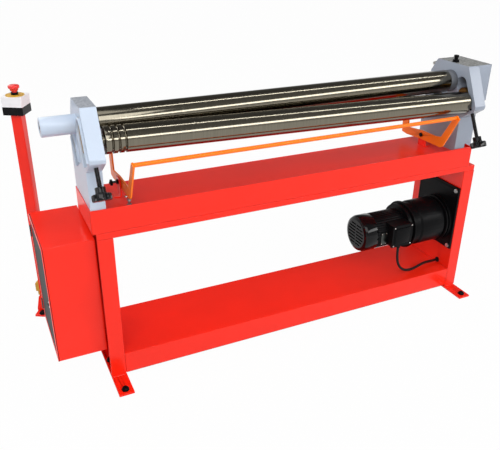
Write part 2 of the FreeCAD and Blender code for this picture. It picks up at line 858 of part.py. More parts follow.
def front_screw(side, station, drop):
    depth, height = on_slant(S.front_line, S.front_axis - drop - S.block_below - S.screw_drop)
    screw = rod(f"FrontScrew{side}", S.screw_radius, S.screw_drop - 0.2, turn=Rotation())
    node(screw, f"screw_front_{side.lower()}", (station, depth, height), TILT)
    bottom = S.front_axis - drop - S.block_below - S.screw_drop - S.knob_hub_height - S.knob_height
    depth, height = on_slant(S.front_line, bottom)
    node(star_knob(f"KnobFront{side}"), f"knob_front_{side.lower()}", (station, depth, height), TILT)


def rear_screw(side, station, drop, length):
    half = S.slot_width / 2 - S.slide_gap
    start = S.rear_axis - drop + half
    depth, height = on_slant(S.rear_line, start + 0.2)
    shank = rod(f"RearShank{side}", S.screw_radius, length)
    head = hexagon(f"RearHead{side}", S.hex_radius, S.hex_height, (0, 0, length))
    node(fuse(f"RearScrew{side}", shank, head), f"screw_rear_{side.lower()}", (station, depth, height), TILT)


# ---------------------------------------------------------------- drive

def loop_wire(radius_upper, radius_lower, station):
    """Closed belt line round the two sprockets, square to X."""
    upper = Vector(station, S.upper_depth.number, upper_height.number)
    lower = Vector(station, S.drive_depth.number, drive_height.number)
    line = upper - lower
    span = line.Length
    lean = math.atan2(line.y, line.z)
    spread = math.asin((radius_upper - radius_lower) / span)

    def at(centre, radius, angle):
        turn = angle - lean
        return centre + Vector(0, -radius * math.cos(turn), radius * math.sin(turn))

    front_top = at(upper, radius_upper, -spread)
    front_low = at(lower, radius_lower, -spread)
    back_top = at(upper, radius_upper, math.pi + spread)
    back_low = at(lower, radius_lower, math.pi + spread)
    crown = at(upper, radius_upper, math.pi / 2)
    keel = at(lower, radius_lower, -math.pi / 2)
    edges = [Part.LineSegment(front_low, front_top).toShape(), Part.Arc(front_top, crown, back_top).toShape(),
             Part.LineSegment(back_top, back_low).toShape(), Part.Arc(back_low, keel, front_low).toShape()]
    return Part.Wire(edges)


def loop_band(outer_gap, inner_gap, start, width):
    upper = S.sprocket_upper_radius.number
    lower = S.sprocket_lower_radius.number
    outer = Part.Face(loop_wire(upper + outer_gap, lower + outer_gap, start))
    inner = Part.Face(loop_wire(upper + inner_gap, lower + inner_gap, start))
    return outer.cut(inner).extrude(Vector(width, 0, 0))


def sprocket(name, radius, count, shaft_radius, shaft_length, shaft_start):
    body = new_body(name)
    root = radius - S.chain_half_height + 1
    disc = circle(new_sketch(body, "YZ_Plane", "Disc" + name), 0, 0, root)
    pad(body, disc, S.sprocket_width, "Wheel" + name)
    tooth = new_sketch(body, "YZ_Plane", "Tooth" + name)
    tip = radius + S.chain_half_height - S.chain_web - S.thread_gap
    polygon(tooth, [(-4, root - 2), (4, root - 2), (1.6, tip), (-1.6, tip)])
    single = pad(body, tooth, S.sprocket_width, "ToothPad" + name)
    polar(body, single, "Teeth" + name, "X_Axis", count)
    doc.recompute()
    shaft = new_sketch(body, "YZ_Plane", "Shaft" + name, shaft_start)
    circle(shaft, 0, 0, shaft_radius)
    pad(body, shaft, shaft_length, "ShaftPad" + name)
    return body


def drive():
    chain = doc.addObject("Part::Feature", "DriveChain")
    start = S.chain_station.number - S.chain_width.number / 2
    half = S.chain_half_height.number
    plate = S.chain_plate.number
    width = S.chain_width.number
    web = loop_band(half, half - S.chain_web.number, start, width)
    first = loop_band(half, -half, start, plate)
    second = loop_band(half, -half, start + width - plate, plate)
    chain.Shape = web.fuse([first, second]).removeSplitter()
    node(chain, "drive_chain")

    upper = sprocket("SprocketUpperWheel", S.sprocket_upper_radius, SIZES["sprocket_upper_teeth"],
                     S.upper_journal_radius + 8, S.sprocket_width + 6, -6)
    bored = cut("sprocket_upper_bored", upper,
                rod("SprocketUpperBore", S.upper_journal_radius + S.journal_fit, 60, (-20, 0, 0), "x"))
    station = S.chain_station - S.sprocket_width / 2
    node(bored, "sprocket_upper", (station, S.upper_depth, upper_height))
    wheel_start = plate_face - 26
    lower = sprocket("SprocketLower", S.sprocket_lower_radius, SIZES["sprocket_lower_teeth"],
                     S.output_shaft_radius, station + S.sprocket_width + 4 - wheel_start,
                     wheel_start - station)
    node(lower, "sprocket_lower", (station, S.drive_depth, drive_height))


# ---------------------------------------------------------------- motor

plate_face = S.stand_length - S.leg_right_width - S.plate_thickness
gearbox_face = plate_face - S.gearbox_length
motor_end = gearbox_face - S.motor_flange_width
motor_start = motor_end - S.motor_length
cowl_start = motor_start - S.cowl_length + S.cowl_lap


def motor_plate():
    width = S.plate_depth
    height = S.plate_height
    plate = box("MotorPlateBlank", S.plate_thickness, width, height)
    bore = rod("MotorPlateBore", S.output_shaft_radius * 2, S.plate_thickness + 2,
               (-1, S.drive_depth - S.stand_sheet, drive_height - plate_bottom), "x")
    inset = S.plate_bolt_inset
    spots = [(inset, inset), (width - inset, inset), (inset, height - inset), (width - inset, height - inset)]
    holes = []
    bolts = []
    for index, (depth, up) in enumerate(spots):
        holes.append(rod(f"PlateHole{index}", S.plate_bolt_radius, S.plate_thickness + 2, (-1, depth, up), "x"))
        shank = rod(f"PlateShank{index}", S.plate_bolt_radius - S.thread_gap, S.plate_thickness,
                    (0, depth, up), "x")
        head = hexagon(f"PlateHead{index}", S.plate_bolt_radius * 1.6, 6, (-6, depth, up), TURNS["x"])
        bolts.append(fuse(f"PlateBolt{index}", shank, head))
    at = (plate_face, S.stand_sheet, plate_bottom)
    node(cut("MotorPlate", plate, bore, *holes), "motor_plate", at)
    node(group("PlateBolts", *bolts), "motor_plate_bolts", at)


def gearbox():
    """Turned gearbox housing with a step, a flange at the plate and an oil plug."""
    radius = S.gearbox_radius
    length = S.gearbox_length
    bore = S.output_shaft_radius + S.journal_fit
    body = new_body("Gearbox")
    section = new_sketch(body, "XZ_Plane", "GearboxSection")
    polygon(section, [(0, 0), (0, radius - 12), (8, radius - 6), (46, radius - 6), (52, radius),
                      (length - 40, radius), (length - 34, radius - 8), (length - 12, radius - 8),
                      (length - 12, radius + 4), (length, radius + 4), (length, bore),
                      (length - 30, bore), (length - 30, 0)])
    revolve(body, section, "GearboxTurn")
    node(body, "gearbox", (gearbox_face, S.drive_depth, drive_height))


def motor():
    radius = S.motor_radius
    length = S.motor_length
    body = new_body("MotorBody")
    section = new_sketch(body, "XZ_Plane", "MotorSection")
    rim = S.cowl_radius - S.cowl_wall
    bore = S.rotor_radius + S.journal_fit
    polygon(section, [(0, bore), (0, rim), (S.cowl_lap, rim), (S.cowl_lap, radius - 4),
                      (length - 4, radius - 4),
                      (length, S.motor_flange_radius - 14), (length, S.motor_flange_radius),
                      (length + S.motor_flange_width, S.motor_flange_radius),
                      (length + S.motor_flange_width, 0), (60, 0), (60, bore)])
    revolve(body, section, "MotorTurn")
    rib = new_sketch(body, "XY_Plane", "MotorRib")
    polygon(rib, [(S.cowl_lap - 1, radius - 8), (length - 6, radius - 8), (length - 6, radius),
                  (S.cowl_lap - 1, radius)])
    fin = body.newObject("PartDesign::Pad", "MotorFin")
    fin.Profile = rib
    fin.Length = 3
    polar(body, fin, "MotorFins", "X_Axis", 36)
    node(body, "motor_body", (motor_start, S.drive_depth, drive_height))

    rotor = fuse("MotorRotorAssembly",
                 rod("RotorShaft", S.rotor_radius, S.rotor_length, (-S.fan_blade_width - 20, 0, 0), "x"),
                 rod("FanHub", S.fan_hub_radius, S.fan_blade_width, (-S.fan_blade_width - 18, 0, 0), "x"),
                 rod("FanDisc", S.fan_radius, 2, (-19, 0, 0), "x"),
                 *[box(f"FanBlade{index}", S.fan_blade_width, 2, S.fan_radius - 14,
                       (-S.fan_blade_width - 18, 0, 0), Rotation(AXIS_X, 60 * index))
                   for index in range(6)])
    node(rotor, "motor_fan", (motor_start - 2, S.drive_depth, drive_height))


def fan_cowl():
    """Drawn steel cowl with rounded shoulder and rows of slots in its end."""
    body = new_body("FanCowl")
    radius = S.cowl_radius
    wall = S.cowl_wall
    length = S.cowl_length
    section = new_sketch(body, "XZ_Plane", "CowlSection")
    polygon(section, [(0, 0), (0, radius - 16), (5, radius - 5), (16, radius), (length, radius),
                      (length, radius - wall), (17, radius - wall), (8, radius - 7), (wall, radius - 17),
                      (wall, 0)])
    revolve(body, section, "CowlTurn")
    slots = new_sketch(body, "YZ_Plane", "CowlSlots")
    reach = radius - 24
    for row in range(7):
        up = -reach * 0.78 + reach * 0.26 * row
        half = math.sqrt(max(0.0, reach.number ** 2 - up.number ** 2))
        for start, end in ((-half, -3.0), (3.0, half)):
            polygon(slots, [(start, up - 3), (end, up - 3), (end, up + 3), (start, up + 3)])
    pocket(body, slots, wall * 2, "CowlGrille")
    node(body, "motor_cowl", (cowl_start, S.drive_depth, drive_height))


TERMINAL_START = motor_end - S.terminal_width - 5
terminal_front = S.drive_depth - S.motor_radius - S.terminal_depth + 12


def terminal_box():
    width = S.terminal_width
    height = S.terminal_height
    depth = S.terminal_depth - S.terminal_lid
    block = box("TerminalBlank", width, depth + 24, height, (0, S.terminal_lid, 0))
    inside = box("TerminalInside", width - 8, depth - 6, height - 8, (4, S.terminal_lid - 1, 4))
    motor_space = rod("TerminalSeat", S.motor_radius + 0.2, width + 2,
                      (-1, S.drive_depth - terminal_front, drive_height - TERMINAL_BOTTOM), "x")
    thread = rod("TerminalGlandHole", S.gland_radius - 3, 10,
                 (GLAND[0] - TERMINAL_START, GLAND[1] - terminal_front, -2))
    shell = cut("TerminalBox", block, inside, motor_space, thread)
    at = (TERMINAL_START, terminal_front, TERMINAL_BOTTOM)
    node(shell, "terminal_box", at)
    lid = box("TerminalLidPlate", width + 4, S.terminal_lid - 2, height + 4, (-2, 2, -2))
    raised = box("TerminalLidRaised", width - 16, 3, height - 30, (8, 0, 15))
    screws = [rod(f"LidScrew{index}", 3.5, 3, (across, 0, up), "y")
              for index, (across, up) in enumerate(((5, 5), (width - 5, 5), (5, height - 5),
                                                    (width - 5, height - 5)))]
    node(fuse("TerminalLid", lid, raised, *screws), "terminal_lid", at)


# Cable: out of the gland, down in an open bow and along to the grommet in the right leg.
TERMINAL_BOTTOM = drive_height - 36
GLAND = (TERMINAL_START + 52, terminal_front + S.terminal_depth / 2, TERMINAL_BOTTOM)
GROMMET = (S.stand_length - S.leg_right_width, S.stand_sheet + 69, S.shelf_height + 12)
# Each bend as shares of the way from gland to grommet: along, back and down.
CABLE_BENDS = [(0, 0, 0.28), (0.03, 0.03, 0.6), (0.14, 0.12, 0.86), (0.32, 0.3, 0.985),
               (0.5, 0.55, 0.99), (0.68, 0.82, 0.965)]


def cable_path(points, share=0.45):
    """Straight runs joined by tangent arcs as large as the runs allow."""
    edges = []
    radii = []
    start = points[0]
    for before, corner, after in zip(points, points[1:], points[2:]):
        inward = before - corner
        outward = after - corner
        reach = share * min(inward.Length, outward.Length)
        turn = math.pi - inward.getAngle(outward)
        radius = reach / math.tan(turn / 2)
        first = corner + inward.normalize() * reach
        last = corner + outward.normalize() * reach
        bisector = (inward + outward).normalize()
        middle = corner + bisector * (radius / math.cos(turn / 2) - radius)
        edges.append(Part.LineSegment(start, first).toShape())
        edges.append(Part.Arc(first, middle, last).toShape())
        radii.append(radius)
        start = last
    edges.append(Part.LineSegment(start, points[-1]).toShape())
    return Part.Wire(edges), radii


def motor_cable():
    gland_nut = hexagon("GlandNut", S.gland_radius + 2, 8, (0, 0, -8))
    gland_body = rod("GlandBody", S.gland_radius, 12, (0, 0, -20))
    gland_thread = rod("GlandThread", S.gland_radius - 3.2, 8, (0, 0, -0.5))
    gland_bore = rod("GlandBore", S.cable_radius + S.journal_fit, 40, (0, 0, -21))
    node(cut("CableGland", fuse("GlandSolid", gland_nut, gland_body, gland_thread), gland_bore),
         "cable_gland", GLAND)

    origin = Vector(*[part.number for part in GLAND])
    target = Vector(*[part.number for part in GROMMET])
    points = [origin]
    way = target - origin
    points += [origin + Vector(way.x * along, way.y * back, way.z * down)
               for along, back, down in CABLE_BENDS]
    points += [target - Vector(46, 0, 0), target + Vector(12, 0, 0)]
    path, radii = cable_path(points)
    print("cable radii", [round(radius, 1) for radius in radii], "length", round(path.Length, 1))
    start = Part.Circle(points[0], points[1] - points[0], S.cable_radius.number).toShape()
    tube = path.makePipeShell([Part.Wire([start])], True, True)
    expected = math.pi * S.cable_radius.number ** 2 * path.Length
    print("cable volume ratio", round(tube.Volume / expected, 5))
    cable = doc.addObject("Part::Feature", "MotorCable")
    cable.Shape = tube
    node(cable, "motor_cable")

    ring = cut("CableGrommet",
               fuse("GrommetSolid", rod("GrommetFront", S.cable_radius + 6, 2, (-2, 0, 0), "x"),
                    rod("GrommetNeck", S.cable_radius + 3, S.stand_sheet + 2, (-1, 0, 0), "x"),
                    rod("GrommetBack", S.cable_radius + 6, 2, (S.stand_sheet, 0, 0), "x")),
               rod("GrommetBore", S.cable_radius + S.journal_fit, 20, (-10, 0, 0), "x"))
    node(ring, "cable_grommet", GROMMET)


# ---------------------------------------------------------------- control cabinet

def cabinet():
    """Sheet box open to the left, closed there by a hinged door."""
    width = S.cabinet_width
    depth = S.cabinet_depth
    height = cabinet_height
    wall = S.cabinet_sheet
    shell = cut("CabinetShell", box("CabinetBlank", width - wall, depth, height, (wall, 0, 0)),
                box("CabinetSpace", width - wall, depth - wall * 2, height - wall * 2, (0, wall, wall)))
    lip_space = box("CabinetLipSpace", wall * 3, depth - 30, height - 30, (wall - 1, 15, 15))
    lip = cut("CabinetLip", box("CabinetLipBlank", wall, depth, height, (wall, 0, 0)), lip_space)
    at = (-S.cabinet_width, S.cabinet_front, S.cabinet_bottom)
    node(fuse("Cabinet", shell, lip), "cabinet_shell", at)
    door = box("DoorBlank", wall, depth - S.door_gap * 2, height - S.door_gap * 2,
               (0, S.door_gap, S.door_gap))
    node(door, "cabinet_door", at)


def electrics():
    """Mounting plate on the cabinet's right wall with the switchgear on it."""
    wall = S.cabinet_sheet
    depth = S.cabinet_depth - 50
    height = cabinet_height - 70
    at = (-wall - 6, S.cabinet_front + 25, S.cabinet_bottom + 35)
    plate = box("MountingPlate", 2, depth, height)
    studs = [rod(f"PlateStud{index}", 4, 4, (2, across, up), "x")
             for index, (across, up) in enumerate(((12, 12), (depth - 12, 12), (12, height - 12),
                                                   (depth - 12, height - 12)))]
    node(fuse("MountingPlateStuds", plate, *studs), "mounting_plate", at)
    devices = []
    reach = S.contactor_reach
    wide = S.contactor_width
    tall = S.contactor_height
    for index in range(3):
        start = 24 + (wide + 7) * index
        base = box(f"ContactorBase{index}", reach, wide, tall, (-reach, start, height - tall - 34))
        front = box(f"ContactorFront{index}", 14, wide - 12, tall - 36,
                    (-reach - 14, start + 6, height - tall - 16))
        devices.append(fuse(f"Contactor{index}", base, front))
    core = S.transformer_size
    strip = S.strip_height
    devices.append(box("ControlTransformer", core, core, core - 8, (-core, 30, strip + 22)))
    devices.append(box("TerminalStrip", strip, S.strip_length, strip, (-strip, 30, 8)))
    node(group("Switchgear", *devices), "switchgear", at)


# ---------------------------------------------------------------- pedestal

PEDESTAL_TURN = Rotation(AXIS_Z, -S.pedestal_turn.number)


def pedestal():
    at = (S.pedestal_station, S.pedestal_depth, 0)
    half_foot = S.foot_width / 2
    half_post = S.post_width / 2
    bar = box("PedestalBar", S.foot_width, S.pedestal_foot_front + S.pedestal_foot_back,
              S.foot_thickness, (-half_foot, -S.pedestal_foot_front, 0))
    shoe = new_body("PedestalShoe")
    profile = new_sketch(shoe, "YZ_Plane", "ShoeSide", -half_foot)
    reach = S.shoe_reach
    polygon(profile, [(-reach, S.foot_thickness), (reach, S.foot_thickness), (reach, S.foot_thickness + 12),
                      (half_post, S.shoe_height), (-half_post, S.shoe_height), (-reach, S.foot_thickness + 12)])
    pad(shoe, profile, S.foot_width, "ShoeBlock")
    bolt_at = (0, -S.pedestal_foot_front + 14)
    hole = bolt_hole("PedestalHole", *bolt_at)
    socket = box("PedestalSocket", S.post_width, S.post_width, S.shoe_height,
                 (-half_post, -half_post, S.foot_thickness))
    node(cut("PedestalFoot", fuse("PedestalFootSolid", bar, shoe), hole, socket), "pedestal_foot", at,
         PEDESTAL_TURN)
    node(group("PedestalBolts", dome_bolt("PedestalBolt", *bolt_at)), "pedestal_bolt", at, PEDESTAL_TURN)
    wall = S.post_wall
    post = cut("PedestalPost",
               box("PostOuter", S.post_width, S.post_width, S.post_top - S.foot_thickness,
                   (-half_post, -half_post, S.foot_thickness)),
               box("PostInner", S.post_width - wall * 2, S.post_width - wall * 2, S.post_top,
                   (wall - half_post, wall - half_post, S.foot_thickness + wall)))
    node(post, "pedestal_post", at, PEDESTAL_TURN)
    plug = fuse("PedestalPlugSolid",
                box("PlugHood", 16, 30, 36, (-16, -15, 24)),
                rod("PlugCollar", 7, 24, (-8, 0, 0)))
    node(plug, "pedestal_plug", (S.pedestal_station - cosine(S.pedestal_turn) * half_post,
                                 S.pedestal_depth + sine(S.pedestal_turn) * half_post, 62), PEDESTAL_TURN)


def estop():
    width = S.estop_width
    half = width / 2
    at = (S.pedestal_station, S.pedestal_depth, S.post_top)
    base = cut("EstopBase", box("EstopBaseBlank", width, width, S.estop_base_height, (-half, -half, 0)),
               box("EstopBaseSpace", width - 6, width - 6, S.estop_base_height, (3 - half, 3 - half, 3)))
    node(base, "estop_base", at, PEDESTAL_TURN)
    lid_height = S.estop_lid_height
    lid = new_body("EstopLid")
    outline = new_sketch(lid, "XY_Plane", "LidOutline", S.estop_base_height)
    polygon(outline, [(-half, -half), (half, -half), (half, half), (-half, half)])
    pad(lid, outline, lid_height, "LidBlock")
    middle = S.estop_base_height + lid_height / 2
    top = S.estop_base_height + lid_height
    round_edges(lid, 3, [(half, half, middle), (-half, half, middle), (half, -half, middle),
                         (-half, -half, middle)], "LidCorners")
    space = new_sketch(lid, "XY_Plane", "LidSpace", S.estop_base_height)
    inner = half - 3
    polygon(space, [(-inner, -inner), (inner, -inner), (inner, inner), (-inner, inner)])
    pocket(lid, space, lid_height - 3, "LidInside")
    hole = new_sketch(lid, "XY_Plane", "LidHole", S.estop_base_height)
    circle(hole, 0, 0, S.button_neck_radius - 2)
    pocket(lid, hole, lid_height + 1, "ButtonHole")
    node(lid, "estop_lid", at, PEDESTAL_TURN)
    ring = cut("EstopPlate", rod("EstopPlateDisc", S.estop_plate_radius, 2, (0, 0, top)),
               rod("EstopPlateHole", S.button_neck_radius - 2, 4, (0, 0, top - 1)))
    node(ring, "estop_plate", at, PEDESTAL_TURN)
    button = new_body("EstopButton")
    section = new_sketch(button, "XZ_Plane", "ButtonSection")
    neck = S.button_neck_radius
    collar = S.button_collar
    head = S.button_head
    radius = S.button_radius
    polygon(section, [(0, -24), (neck - 3, -24), (neck - 3, collar - 1), (neck, collar),
                      (radius, collar + head - 7), (radius, collar + head - 3), (radius - 3, collar + head),
                      (0, collar + head)])
    revolve(button, section, "ButtonTurn", "V_Axis")
    node(button, "estop_button", (S.pedestal_station, S.pedestal_depth, S.post_top + top + 2))
    collar_ring = cut("EstopCollar", rod("EstopCollarBody", neck, 9), rod("EstopCollarBore", neck - 2.7, 9))
    node(collar_ring, "estop_collar", (S.pedestal_station, S.pedestal_depth, S.post_top + top + 2))


# ---------------------------------------------------------------- safety trip bar

def trip_arm(name, station):
    """Bent plate arm: up to the front rod, back past the pivot and up to the rear rod."""
    body = new_body(name)
    section = new_sketch(body, "YZ_Plane", "Plate" + name, station)
    half = S.trip_band / 2
    front = -S.trip_front_reach
    head = S.trip_front_rise
    rear = S.trip_rear_reach
    tail = S.trip_rear_rise
    knee = -S.trip_stop_reach - 16
    polygon(section, [(front - 18, head), (front, head + 10), (front + 10, head + 1),
                      (front + 66, half + 6), (front + 100, half), (0, half), (rear - 27, 8),
                      (rear - 17, tail + 10), (rear + 18, tail + 8), (rear + 10, -half - 2),
                      (rear - 23, -half - 6), (0, -half), (knee, -half), (knee - 14, -half / 2)])
    pad(body, section, S.trip_arm_thickness, "Arm" + name)
    hole = new_sketch(body, "YZ_Plane", "Hole" + name, station)
    circle(hole, 0, 0, S.trip_pin_radius + S.journal_fit)
    pocket(body, hole, S.trip_arm_thickness, "PinHole" + name)
    return body


def trip_bracket(name, station, outward):
    """Angle bracket on the tray floor that carries a pivot pin."""
    floor = -S.trip_pivot_rise
    thick = S.trip_bracket_thickness
    upright = box(name + "Upright", thick, 44, 14 - floor, (station, -22, floor))
    start = station if outward > 0 else station - 26 + thick
    sole = box(name + "Sole", 26, 44, 3, (start, -22, floor))
    hole = rod(name + "Hole", S.trip_pin_radius + S.journal_fit, 20, (station - 8, 0, 0), "x")
    return cut(name, fuse(name + "Solid", upright, sole), hole)


def trip_bar():
    at = (0, S.trip_pivot_depth, trip_pivot_height)
    thick = S.trip_arm_thickness
    left = S.trip_left_station
    right = S.trip_right_station
    node(group("TripArms", trip_arm("TripArmLeft", left), trip_arm("TripArmRight", right)), "trip_arms", at)
    length = right - left - thick
    front = rod("TripRodFront", S.trip_rod_radius, length, (left + thick, -S.trip_front_reach, S.trip_front_rise), "x")
    rear = rod("TripRodRear", S.trip_rod_radius, length, (left + thick, S.trip_rear_reach, S.trip_rear_rise), "x")
    node(group("TripRods", front, rear), "trip_rods", at)
    gap = 1
    bracket = S.trip_bracket_thickness
    brackets = group("TripBrackets", trip_bracket("TripBracketLeft", left - gap - bracket, -1),
                     trip_bracket("TripBracketRight", right + thick + gap, 1))
    node(brackets, "trip_brackets", at)
    pins = []
    for side, start in (("Left", left - gap - bracket - 6), ("Right", right - 5)):
        pin_length = thick + gap + bracket + 11
        shank = rod(f"TripPin{side}", S.trip_pin_radius, pin_length, (start, 0, 0), "x")
        first = hexagon(f"TripHead{side}", 9, 5, (start, 0, 0), TURNS["x"])
        last = hexagon(f"TripNut{side}", 9, 4.5, (start + pin_length - 4.5, 0, 0), TURNS["x"])
        pins.append(fuse(f"TripPivot{side}", shank, first, last))
    node(group("TripPins", *pins), "trip_pins", at)
    top = S.trip_pivot_rise - S.trip_band / 2 - S.trip_stop_gap
    stop = fuse("TripStop", rod("StopStem", 4, top - 4),
                hexagon("StopNut", 8, 6, (0, 0, 0)), rod("StopHead", 7, 5, (0, 0, top - 6)))
    node(stop, "trip_stop", (left + thick / 2, S.trip_pivot_depth - S.trip_stop_reach, tray_floor))


# ---------------------------------------------------------------- the whole machine

stand()
feet()
bed_tray()
end_frames()
gear_housing()
upper_roll()
lower_roll("roll_front", S.front_line, S.front_axis, True)
lower_roll("roll_rear", S.rear_line, S.rear_axis, False)
carriage("Front", S.front_line, S.front_axis, S.front_block_above)
carriage("Rear", S.rear_line, S.rear_axis, S.journal_fit)
for side, station, drop in (("Left", left_middle, formula(0)), ("Right", right_middle, S.right_drop)):
    front_screw(side, station, drop)
rear_screw("Left", left_middle, formula(0), S.rear_screw_left)
rear_screw("Right", right_middle, S.right_drop, S.rear_screw_right)
drive()
motor_plate()
gearbox()
motor()
fan_cowl()
terminal_box()
motor_cable()
cabinet()
electrics()
pedestal()
estop()
trip_bar()
node(box("LegCover", S.cover_thickness, S.stand_depth, S.stand_height - S.top_apron - S.foot_thickness),
     "leg_cover", (S.stand_length, 0, S.foot_thickness))

doc.recompute()
problems = [item.Label for item in doc.Objects if "Invalid" in item.State or "Error" in item.State]
if problems:
    raise RuntimeError(f"failed to recompute: {problems}")
for piece in NODES:
    if piece.Shape.isNull() or not piece.Shape.isValid():
        raise RuntimeError(f"bad shape: {piece.Label}")

os.makedirs("parts", exist_ok=True)
extent = FreeCAD.BoundBox()
for piece in NODES:
    piece.Shape.exportStep(f"parts/{piece.Label}.step")
    extent.add(piece.Shape.BoundBox)
print(len(NODES), "sub-parts", extent)
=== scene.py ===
import json
import math

import bmesh
import bpy
from mathutils import Matrix, Vector


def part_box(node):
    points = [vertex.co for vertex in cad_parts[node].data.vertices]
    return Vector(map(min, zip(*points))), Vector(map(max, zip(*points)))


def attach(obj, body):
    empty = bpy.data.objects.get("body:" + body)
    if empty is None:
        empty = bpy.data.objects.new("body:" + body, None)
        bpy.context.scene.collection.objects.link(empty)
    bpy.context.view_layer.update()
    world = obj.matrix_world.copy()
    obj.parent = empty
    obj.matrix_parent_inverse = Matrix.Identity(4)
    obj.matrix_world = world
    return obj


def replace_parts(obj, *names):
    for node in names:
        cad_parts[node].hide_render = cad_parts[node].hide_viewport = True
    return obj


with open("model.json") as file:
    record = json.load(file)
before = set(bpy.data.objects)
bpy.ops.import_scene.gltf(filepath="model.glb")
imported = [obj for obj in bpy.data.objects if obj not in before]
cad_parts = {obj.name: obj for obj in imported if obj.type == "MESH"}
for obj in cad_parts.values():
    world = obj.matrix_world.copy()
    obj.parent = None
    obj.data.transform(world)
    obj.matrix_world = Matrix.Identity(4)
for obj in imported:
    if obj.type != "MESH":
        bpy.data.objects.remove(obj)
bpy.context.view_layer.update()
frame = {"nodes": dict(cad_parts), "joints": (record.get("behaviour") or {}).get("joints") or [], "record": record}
nodes = frame["nodes"]
JOINTS = {joint["name"]: joint for joint in frame["joints"]}
MM = 0.001


# ---------------------------------------------------------------- materials

class Nodes:
    """A small helper that adds and links shader nodes of one material."""

    def __init__(self, name):
        self.material = bpy.data.materials.new(name)
        self.material.use_nodes = True
        self.tree = self.material.node_tree
        self.shader = self.tree.nodes["Principled BSDF"]
        self.place = self.tree.nodes.new("ShaderNodeTexCoord").outputs["Object"]

    def add(self, kind, **settings):
        made = self.tree.nodes.new(kind)
        for name, value in settings.items():
            setattr(made, name, value)
        return made

    def link(self, source, target):
        self.tree.links.new(source, target)

    def noise(self, scale, detail=2.0, stretch=(1, 1, 1)):
        mapping = self.add("ShaderNodeMapping")
        mapping.inputs["Scale"].default_value = stretch
        self.link(self.place, mapping.inputs["Vector"])
        made = self.add("ShaderNodeTexNoise")
        made.inputs["Scale"].default_value = scale
        made.inputs["Detail"].default_value = detail
        self.link(mapping.outputs["Vector"], made.inputs["Vector"])
        return made.outputs["Fac"]

    def spread(self, source, low, high, start=0.3, end=0.7):
        made = self.add("ShaderNodeMapRange")
        for name, value in (("From Min", start), ("From Max", end), ("To Min", low), ("To Max", high)):
            made.inputs[name].default_value = value
        self.link(source, made.inputs["Value"])
        return made.outputs["Result"]

    def blend(self, factor, first, second):
        made = self.add("ShaderNodeMix", data_type="RGBA")
        self.link(factor, made.inputs["Factor"])
        for name, value in (("A", first), ("B", second)):
            socket = next(item for item in made.inputs if item.name == name and item.type == "RGBA")
            if isinstance(value, tuple):
                socket.default_value = (*value, 1)
            else:
                self.link(value, socket)
        return next(item for item in made.outputs if item.type == "RGBA")

    def uneven(self, roughness):
        """Roughness that drifts a little over the surface."""
        self.link(self.spread(self.noise(3.0, 1.0), roughness * 0.94, roughness * 1.08),
                  self.shader.inputs["Roughness"])

    def bump(self, height, strength, distance):
        made = self.add("ShaderNodeBump")
        made.inputs["Strength"].default_value = strength
        made.inputs["Distance"].default_value = distance
        self.link(height, made.inputs["Height"])
        self.link(made.outputs["Normal"], self.shader.inputs["Normal"])


def shade(colour, amount):
    return tuple(min(1.0, part * amount) for part in colour)


def paint(name, colour, roughness, coat=0.0, peel=0.15, grain=0.0, gloss=0.5):
    """Enamel with orange peel and a soft tone drift; grain adds the rough skin of a casting."""
    made = Nodes(name)
    tone = made.blend(made.spread(made.noise(5.0), 0, 1), shade(colour, 0.95), shade(colour, 1.03))
    made.link(tone, made.shader.inputs["Base Color"])
    made.uneven(roughness)
    made.shader.inputs["Coat Weight"].default_value = coat
    made.shader.inputs["Specular IOR Level"].default_value = gloss
    made.shader.inputs["Coat Roughness"].default_value = 0.08
    if grain:
        made.bump(made.noise(150.0, 5.0), grain, 0.0008)
    else:
        made.bump(made.noise(420.0, 1.0), peel, 0.0004)
    return made.material


def dark_mottled_top(name, colour, roughness, dark, light):
    """Enamel of a casting whose faces that look up are darker and mottled."""
    made = Nodes(name)
    normal = made.add("ShaderNodeNewGeometry").outputs["Normal"]
    split = made.add("ShaderNodeSeparateXYZ")
    made.link(normal, split.inputs[0])
    up = made.spread(split.outputs["Z"], 0.0, 1.0, 0.90, 0.96)
    tone = made.blend(made.spread(made.noise(5.0), 0, 1), shade(colour, 0.94), shade(colour, 1.03))
    spots = made.blend(made.spread(made.noise(130.0, 6.0), 0, 1, 0.4, 0.6), dark, light)
    made.link(made.blend(up, tone, spots), made.shader.inputs["Base Color"])
    made.uneven(roughness)
    made.shader.inputs["Coat Weight"].default_value = 0.25
    made.shader.inputs["Coat Roughness"].default_value = 0.08
    made.bump(made.noise(150.0, 5.0), 0.30, 0.0008)
    return made.material


def metal(name, colour, roughness, grain=(1, 1, 1), grain_scale=60.0, strength=0.08, stain=0.25):
    """Bare metal whose tool marks run along the stretched direction of the grain."""
    made = Nodes(name)
    lines = made.noise(grain_scale, 3.0, grain)
    tone = made.blend(made.spread(lines, 0, 1), shade(colour, 0.88), shade(colour, 1.1))
    mark = made.spread(made.noise(9.0, 5.0), 0.0, stain, 0.55, 0.8)
    made.link(made.blend(mark, tone, shade(colour, 0.7)), made.shader.inputs["Base Color"])
    made.shader.inputs["Metallic"].default_value = 1.0
    made.link(made.spread(lines, roughness * 0.85, roughness * 1.2), made.shader.inputs["Roughness"])
    made.bump(lines, strength, 0.0003)
    return made.material


